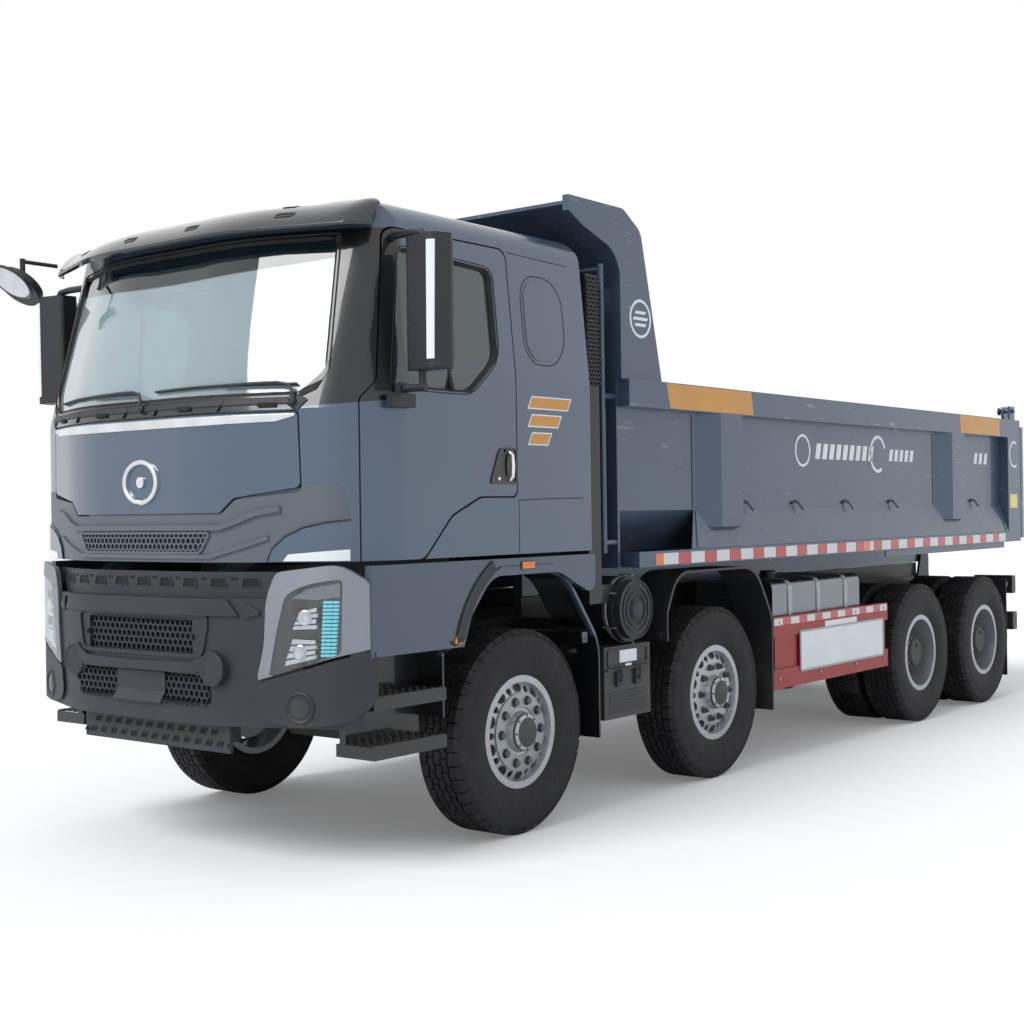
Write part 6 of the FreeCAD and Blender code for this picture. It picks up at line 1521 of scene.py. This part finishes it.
class TRUCK_OT_guards(Operator):
    """Makes the side guards' panels, film and bolts"""

    bl_idname = "truck.guards"
    bl_label = "Side guards"
    bl_options = {"REGISTER", "UNDO"}

    def execute(self, context):
        face = Skin("side_guards").beside
        form, panel = Form(), oblong((0.150, 0.585), (1.480, 0.855), 0.012)
        form.of(1).patch(panel, face, 0.004, step=0.6)
        form.of(3).rim(panel, face, 0.014, 0.007, step=0.3)
        form.of(1).patch(oblong((0.525, 0.862), (1.035, 0.900)), face, 0.003, step=0.6)
        y, number = -0.215, 0
        while y < 1.555:
            end = min(y + 0.118, 1.565)
            finish, top = ((2, 0.962), (0, 0.965))[number % 2]
            form.of(finish).patch(oblong((y, 0.915), (end, top)), face, 0.0025, -0.001, step=0.5)
            y, number = end, number + 1
        settle(form.across(), "guard_panels", "chassis", ["film_red", "marking", "film_white", "silver_trim"],
               bevel=0.001)
        bolts = Form()
        for y in (-0.15, 0.45, 1.02, 1.50):
            for z in (0.555, 0.935):
                bolts.turned([(0.011, 0.0), (0.011, 0.005), (0.007, 0.008), (0.0, 0.008)], face(y, z, 0.0),
                             (1, 0, 0), 6)
        settle(bolts.across(), "guard_bolts", "chassis", ["silver_trim"])
        return {"FINISHED"}


class TRUCK_OT_boxes(Operator):
    """Makes the fittings of the battery box, air cleaner, tank, silencer, steps and rear lamps"""

    bl_idname = "truck.boxes"
    bl_label = "Boxes and tanks"
    bl_options = {"REGISTER", "UNDO"}

    def execute(self, context):
        low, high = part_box("battery_box")
        box = Skin("battery_box").beside
        form = Form()
        form.of(0).rim([(low.y + 0.02, 0.800), (high.y - 0.02, 0.800)], box, 0.018, 0.010, whole=False)
        form.rim(oblong((low.y + 0.035, 0.82), (high.y - 0.035, high.z - 0.02), 0.02), box, 0.012, 0.006,
                 step=0.06)
        for u in (0.30, 0.70):
            y = low.y + (high.y - low.y) * u
            form.of(0).patch(oblong((y - 0.030, 0.700), (y + 0.030, 0.790), 0.006), box, 0.016, step=0.05)
            form.of(0).bar([box(y, 0.725, 0.018), box(y, 0.765, 0.030), box(y, 0.815, 0.020)], 0.006, 8)
        for k in range(7):
            v = 0.555 + k * 0.019
            form.rim([(low.y + 0.05, v), (high.y - 0.05, v)], box, 0.006, 0.004, whole=False, step=0.2)
        middle = (low.y + high.y) / 2
        for number, half, foot, top in ((1, 0.085, 0.905, 0.935), (2, 0.085, 0.835, 0.905),
                                        (2, 0.030, 0.812, 0.826)):
            form.of(number).patch(oblong((middle - half, foot), (middle + half, top), 0.002), box, 0.0075,
                                  step=0.2)
        settle(form, "battery_box_fittings", "chassis", ["dark_plastic", "label", "marking"],
               bevel=0.0015)

        centre, out = (-1.875, 1.130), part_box("air_cleaner")[1].x
        clean = Form()
        for k in range(36):
            t = tau * k / 36
            one = [(out - 0.001, centre[0] + r * cos(t), centre[1] + r * sin(t)) for r in (0.060, 0.165)]
            clean.bar(one, 0.004, 4, section=[(-0.003, -0.001), (0.003, -0.001), (0.002, 0.006),
                                              (-0.002, 0.006)])
        for radius in (0.055, 0.095, 0.130, 0.168):
            clean.turned([(radius - 0.004, -0.002), (radius - 0.004, 0.006), (radius + 0.004, 0.006),
                          (radius + 0.004, -0.002)],
                         (out, *centre), (1, 0, 0), 64)
        clean.turned([(0.05, -0.002), (0.048, 0.010), (0.03, 0.014), (0.0, 0.014)], (out, *centre), (1, 0, 0),
                     40)
        clean.of(1).turned([(0.1925, out - 0.10), (0.1945, out - 0.098), (0.1945, out - 0.078),
                            (0.1925, out - 0.076)],
                           (0, *centre), (1, 0, 0), 64)
        for k in range(6):
            t = tau * (k + 0.5) / 6
            clean.of(1).bar([(out - 0.115, centre[0] + 0.196 * cos(t), centre[1] + 0.196 * sin(t)),
                             (out - 0.055, centre[0] + 0.204 * cos(t), centre[1] + 0.204 * sin(t)),
                             (out - 0.020, centre[0] + 0.195 * cos(t), centre[1] + 0.195 * sin(t))], 0.0055, 8)
        settle(clean, "air_cleaner_fittings", "chassis", ["dark_plastic", "silver_trim"])

        low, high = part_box("fuel_tank")
        skin = Skin("fuel_tank")
        middle = Vector(((low.x + high.x) / 2, 0, (low.z + high.z) / 2))
        straps = Form()
        for y in (0.12, 0.545, 0.98):
            ring = []
            for k in range(72):
                t = tau * k / 72
                way = Vector((cos(t), 0, sin(t)))
                hit = skin.strike(middle + Vector((0, y, 0)) + way * 1.0, -way, 0.0)
                ring.append([hit + way * proud + Vector((0, beside, 0)) for proud, beside in
                             ((-0.001, -0.028), (0.006, -0.028), (0.006, 0.028), (-0.001, 0.028))])
            straps.skin_over(ring + [ring[0]], caps=False)
            latch = ((0.002, 0.80), (0.010, 0.84), (0.010, 0.92), (0.002, 0.96))
            straps.of(1).bar([(high.x + out, y, z) for out, z in latch], 0.007, 8).of(0)
        straps.of(1).turned([(0.05, -0.002), (0.05, 0.02), (0.058, 0.022), (0.058, 0.045), (0.05, 0.05),
                             (0.0, 0.052)],
                            (middle.x + 0.08, 0.34, high.z), (0, 0, 1), 40)
        for y, way in ((low.y, -1), (high.y, 1)):
            straps.of(2).turned([(0.18, -0.002), (0.18, 0.003), (0.165, 0.006), (0.150, 0.003), (0.0, 0.003)],
                                (middle.x, y, middle.z), (0, way, 0), 48)
        settle(straps, "tank_straps", "chassis", ["silver_trim", "frame_paint", "tank_alloy"],
               bevel=0.001)

        low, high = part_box("exhaust_silencer")
        shield = Form()
        foot = (low.z + high.z) / 2 - 0.20
        for row in range(8):
            for k in range(7):
                y, z = low.y + 0.06 + k * 0.06 + (row % 2) * 0.03, foot + row * 0.055
                if y < high.y - 0.03:
                    shield.turned([(0.015, 0.0), (0.015, 0.002), (0.011, 0.003), (0.0, 0.0012)], (low.x, y, z),
                                  (-1, 0, 0), 14)
        settle(shield, "silencer_shield", "chassis", ["cast_grey"])

        steps = Form()
        front, rear = -4.087, -3.575
        for z in (0.622, 0.852):
            for row in range(4):
                for k in range(9):
                    x, y = 1.02 + row * 0.052, front + 0.045 + k * 0.053
                    steps.of(0).turned([(0.016, -0.001), (0.0155, 0.003), (0.011, 0.005), (0.008, 0.001)],
                                       (x, y, z - 0.002), (0, 0, 1), 16)
            steps.of(1).slab((1.206, front + 0.01, z - 0.004), (1.2335, rear - 0.01, z + 0.004))
        settle(steps.across(), "step_treads", "chassis", ["frame_paint", "cast_grey"],
               bevel=0.0008)

        lamps, plate = Form(), flat_on("Y", 4.325)
        for u, end, number in ((0.875, 0.960, 0), (0.965, 1.045, 1), (1.050, 1.115, 2), (1.120, 1.195, 0)):
            lamps.of(number).patch(oblong((u, 0.915), (end, 1.045), 0.010), plate, 0.010, -0.002, step=0.2)
        lamps.of(3).rim(oblong((0.865, 0.905), (1.205, 1.055), 0.015), plate, 0.012, 0.014, step=0.1)
        settle(lamps.across(), "tail_lamps", "chassis", ["lamp_red", "lamp_amber", "lamp_white", "black_trim"],
               bevel=0.0015)
        bar, face, long = Form(), Skin("rear_underrun").behind, 0.1475
        for k in range(16):
            u = -1.18 + k * long
            bar.of(k % 2).patch(oblong((u, 0.612), (u + long, 0.688)), face, 0.0015, -0.001, step=0.4)
        settle(bar, "underrun_film", "chassis", ["film_red", "film_white"])
        return {"FINISHED"}


class TRUCK_OT_underside(Operator):
    """Makes the brake chambers, air tanks and pipes under the frame"""

    bl_idname = "truck.underside"
    bl_label = "Underside"
    bl_options = {"REGISTER", "UNDO"}

    def execute(self, context):
        chambers = Form()
        for row in TWIN_ROWS:
            chambers.turned([(0.0, -0.04), (0.05, -0.04), (0.082, -0.02), (0.088, 0.0), (0.092, 0.006),
                             (0.092, 0.016), (0.088, 0.022), (0.088, 0.09), (0.092, 0.094), (0.092, 0.104),
                             (0.086, 0.11), (0.078, 0.19), (0.0, 0.20)],
                            (0.42, AXLES[row] - 0.17, 0.76), (-0.25, -1, 0.1), 32)
        settle(chambers.across(), "brake_chambers", "chassis", ["frame_paint"])
        tanks = Form()
        x, z = -0.42, 0.74
        for y in (0.40, 1.00):
            shape = [(0.0, -0.262), (0.06, -0.258), (0.105, -0.235), (0.118, -0.20), (0.118, 0.20),
                     (0.105, 0.235), (0.06, 0.258), (0.0, 0.262)]
            tanks.of(0).turned(shape, (x, y, z), (0, 1, 0), 40)
            for shift in (-0.13, 0.13):
                tanks.of(1).turned([(0.118, shift - 0.016), (0.121, shift - 0.015), (0.121, shift + 0.015),
                                    (0.118, shift + 0.016)], (x, y, z), (0, 1, 0), 40)
                tanks.of(1).slab((x - 0.012, y + shift - 0.02, z + 0.11),
                                 (x + 0.012, y + shift + 0.02, z + 0.20))
        settle(tanks, "air_tanks", "chassis", ["frame_paint", "silver_trim"])
        pipes = Form()
        for offset in (0.0, 0.018, 0.036):
            pipes.bar([(0.459, y, 0.98 - offset) for y in (-2.0, 0.0, 3.9)], 0.007, 8)
        settle(pipes.across(), "frame_pipes", "chassis", ["seal"])
        return {"FINISHED"}


# ---------------------------------------------------------------- cab inside


SWELL_PRESSURE = 4
SWELL_FRAMES = 14
SWELL_GRAIN = 0.009
SWELL_MOST = 0.012


def stuffed(form, name, finishes):
    """Padding made by letting cloth swell, by SWELL_MOST at most, then its mesh as a new piece."""
    piece = bpy.data.objects.new(name, form.mesh(name, finishes))
    bpy.context.scene.collection.objects.link(piece)
    rest = piece.modifiers.new("remesh", "REMESH")
    rest.mode, rest.voxel_size = "VOXEL", SWELL_GRAIN
    swell = piece.modifiers.new("cloth", "CLOTH")
    swell.settings.use_pressure, swell.settings.uniform_pressure_force = True, SWELL_PRESSURE
    swell.settings.effector_weights.gravity = 0
    scene = bpy.context.scene
    for number in range(1, SWELL_FRAMES + 1):
        scene.frame_set(number)
    graph = bpy.context.evaluated_depsgraph_get()
    swollen = bpy.data.meshes.new_from_object(piece.evaluated_get(graph))
    piece.modifiers.remove(swell)
    graph = bpy.context.evaluated_depsgraph_get()
    firm = bpy.data.meshes.new_from_object(piece.evaluated_get(graph))
    piece.modifiers.clear()
    if len(swollen.vertices) == len(firm.vertices):
        for there, here in zip(swollen.vertices, firm.vertices):
            move = there.co - here.co
            there.co = here.co + (move.normalized() * min(move.length, SWELL_MOST) if move.length else move)
    swollen.name = f"{name}_swollen"
    swollen.shade_smooth()
    piece.data = swollen
    scene.frame_set(1)
    smooth = piece.modifiers.new("smooth", "SUBSURF")
    smooth.levels, smooth.render_levels = 1, 1
    return piece


class TRUCK_OT_seats(Operator):
    """Makes the seats: cushion, back and headrest of swollen cloth"""

    bl_idname = "truck.seats"
    bl_label = "Seats"
    bl_options = {"REGISTER", "UNDO"}

    def execute(self, context):
        cushion = [(0.475, -3.250, 0.06), (0.825, -3.250, 0.06), (0.825, -2.800, 0.05), (0.475, -2.800, 0.05)]
        back = [(0.485, 1.985, 0.05), (0.815, 1.985, 0.05), (0.800, 2.480, 0.10), (0.500, 2.480, 0.10)]
        rest = [(0.555, 2.530, 0.05), (0.745, 2.530, 0.05), (0.735, 2.665, 0.06), (0.565, 2.665, 0.06)]
        for side, hand in SIDES:
            for name, outline, axis, low, high in (
                ("cushion", cushion, "Z", 1.852, 1.945),
                ("back", back, "Y", -2.812, -2.712),
                ("headrest", rest, "Y", -2.805, -2.722),
            ):
                form = Form().prism(eased(outline), axis, low, high).handed(hand)
                piece = stuffed(form, f"seat_{name}_{side}", ["seat_cloth"])
                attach(piece, "cab")
                if (name, side) == ("cushion", "left"):
                    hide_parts("seats")
            base = Form()
            base.slab((0.50, -3.22, 1.60), (0.80, -2.82, 1.845))
            for u in (0.60, 0.70):
                base.bar([(u, -2.76, 2.44), (u, -2.76, 2.56)], 0.007, 10)
            base.slab((0.42, -3.10, 1.86), (0.445, -2.86, 1.90))
            settle(base.handed(hand), f"seat_base_{side}", "cab", ["interior"], bevel=0.006)
        return {"FINISHED"}


class TRUCK_OT_cab_inside(Operator):
    """Makes the dashboard's dials, screen and vents and the steering wheel's hub"""

    bl_idname = "truck.cab_inside"
    bl_label = "Cab inside"
    bl_options = {"REGISTER", "UNDO"}

    def execute(self, context):
        top = Skin("dashboard")

        def rear(u, v, proud):
            """Lays on the side of the dashboard that faces the seats."""
            return top.strike((u, -3.0, v), (0, -1, 0), proud)

        form = Form()
        form.of(0).patch(oblong((0.40, 2.02), (0.94, 2.19), 0.04), rear, 0.02, step=0.05)
        for u in (0.55, 0.79):
            centre = rear(u, 2.105, 0.022)
            form.of(1).turned([(0.066, -0.004), (0.066, 0.004), (0.058, 0.006), (0.056, 0.002), (0.0, 0.002)],
                              centre, (0, 1, 0), 36)
            form.of(2).turned([(0.008, 0.0), (0.008, 0.006), (0.0, 0.007)], centre, (0, 1, 0), 16)
        form.of(1).patch(oblong((-0.05, 1.98), (0.28, 2.17), 0.012), rear, 0.012, step=0.05)
        for u in (-0.95, -0.35, 0.33, 1.0):
            for k in range(5):
                form.of(0).patch(oblong((u - 0.05, 2.05 + k * 0.018), (u + 0.05, 2.058 + k * 0.018)), rear,
                                 0.008, step=0.05)
        settle(form, "dashboard_fittings", "cab", ["interior", "black_trim", "silver_trim"],
               bevel=0.001)

        hub, rake = Form(), radians(25)
        axis, middle = Vector((0, sin(rake), cos(rake))), Vector((0.67, -3.485, 2.135))
        hub.turned([(0.075, 0.0), (0.080, 0.012), (0.070, 0.026), (0.04, 0.032), (0.0, 0.033)], middle, axis,
                   36)
        settle(hub, "horn_pad", "steering_wheel", ["interior"])
        return {"FINISHED"}


# ---------------------------------------------------------------- stage


class TRUCK_OT_stage(Operator):
    """Makes the camera, the floor, the sun and the sky"""

    bl_idname = "truck.stage"
    bl_label = "Stage"
    bl_options = {"REGISTER", "UNDO"}

    def execute(self, context):
        scene = bpy.context.scene
        scene.view_settings.view_transform = "Standard"
        camera = bpy.data.objects.new("camera", bpy.data.cameras.new("camera"))
        camera.data.lens, camera.data.sensor_width = 52.43, 36.0
        yaw, pitch, roll = radians(38.276), radians(0.0635), radians(-0.8194)
        ahead = Vector((-sin(yaw) * cos(pitch), cos(yaw) * cos(pitch), -sin(pitch)))
        right = Vector((cos(yaw), sin(yaw), 0))
        up = right.cross(ahead)
        right, up = right * cos(roll) + up * sin(roll), up * cos(roll) - right * sin(roll)
        turn = Matrix((right, up, -ahead)).transposed().to_4x4()
        eye = (6.008, -9.092, 1.712)
        camera.matrix_world = Matrix.Translation(eye) @ turn
        camera.data.clip_end = 400.0
        scene.collection.objects.link(camera)
        scene.camera = camera

        reach, thick, white = 150, 0.05, (1, 1, 1, 1)
        floor = Form().slab((-reach, -reach, -thick), (reach, reach, 0.0))
        finish = Finish("pale_floor", roughness=0.9, specular_ior_level=0.1)
        cloud = finish.noise(0.6, 3.0)
        finish.set(base_color=finish.mixed(cloud, tint(246, 247, 248), tint(250, 250, 250)))
        seen_straight = finish.add("ShaderNodeLightPath", out="Is Camera Ray")
        plain = Signal(finish, finish.shader.outputs["BSDF"])
        lit = finish.add("ShaderNodeEmission", {}, {"Color": white, "Strength": 0.14}, "Emission")
        both = finish.add("ShaderNodeAddShader", {}, {0: lit, 1: plain})
        shown = finish.add("ShaderNodeMixShader", {}, {0: seen_straight, 1: plain, 2: both})
        finish.feed(finish.tree.nodes["Material Output"].inputs["Surface"], shown)
        FINISHES["pale_floor"] = finish.material
        ground = bpy.data.objects.new("floor", floor.mesh("floor", ["pale_floor"]))
        scene.collection.objects.link(ground)

        sun = bpy.data.objects.new("key_light", bpy.data.lights.new("key_light", "SUN"))
        sun.data.energy, sun.data.angle = 1.9, radians(30)
        sun.rotation_euler = (radians(46), 0.0, radians(-8))
        scene.collection.objects.link(sun)

        world = bpy.data.worlds.new("studio")
        scene.world = world
        world.use_nodes = True
        sky = Nodes(world.node_tree)
        straight, glossy, through = (
            sky.add("ShaderNodeLightPath", out=f"Is {ray} Ray") for ray in ("Camera", "Glossy", "Transmission")
        )
        seen = sky.add("ShaderNodeMath", {"operation": "ADD", "use_clamp": True},
                       {0: straight, 1: glossy + through})
        light = sky.add("ShaderNodeBackground", {}, {"Color": (0.93, 0.96, 1.0, 1), "Strength": 0.62})
        backdrop = sky.add("ShaderNodeBackground", {}, {"Color": white, "Strength": 1.0})
        shown = sky.add("ShaderNodeMixShader", {}, {0: seen, 1: light, 2: backdrop})
        sky.feed(sky.tree.nodes["World Output"].inputs["Surface"], shown)
        return {"FINISHED"}


# ---------------------------------------------------------------- add-on

OPERATORS = (
    TRUCK_OT_finishes, TRUCK_OT_stage, TRUCK_OT_tyres, TRUCK_OT_wheel_fittings, TRUCK_OT_cab_front,
    TRUCK_OT_bumper, TRUCK_OT_headlights, TRUCK_OT_doors, TRUCK_OT_cab_sides, TRUCK_OT_bed, TRUCK_OT_tailgate,
    TRUCK_OT_guards, TRUCK_OT_boxes, TRUCK_OT_underside, TRUCK_OT_seats, TRUCK_OT_cab_inside,
)


class TRUCK_PT_panel(Panel):
    """Lists the truck's pieces in the sidebar"""

    bl_idname = "TRUCK_PT_panel"
    bl_label = "Dump truck"
    bl_space_type = "VIEW_3D"
    bl_region_type = "UI"
    bl_category = "Truck"

    def draw(self, context):
        for group in (context.scene.truck_colours, context.scene.truck_sizes):
            column = self.layout.column()
            for key in group.bl_rna.properties.keys():
                if key not in ("rna_type", "name"):
                    column.prop(group, key)
        for operator in OPERATORS:
            self.layout.operator(operator.bl_idname)


CLASSES = (TruckColours, TruckSizes, *OPERATORS, TRUCK_PT_panel)


def register():
    for cls in CLASSES:
        bpy.utils.register_class(cls)
    bpy.types.Scene.truck_colours = PointerProperty(type=TruckColours)
    bpy.types.Scene.truck_sizes = PointerProperty(type=TruckSizes)


def unregister():
    del bpy.types.Scene.truck_sizes
    del bpy.types.Scene.truck_colours
    for cls in reversed(CLASSES):
        bpy.utils.unregister_class(cls)


def main():
    register()
    for operator in OPERATORS:
        group, name = operator.bl_idname.split(".")
        getattr(getattr(bpy.ops, group), name)()


if __name__ == "__main__":
    main()
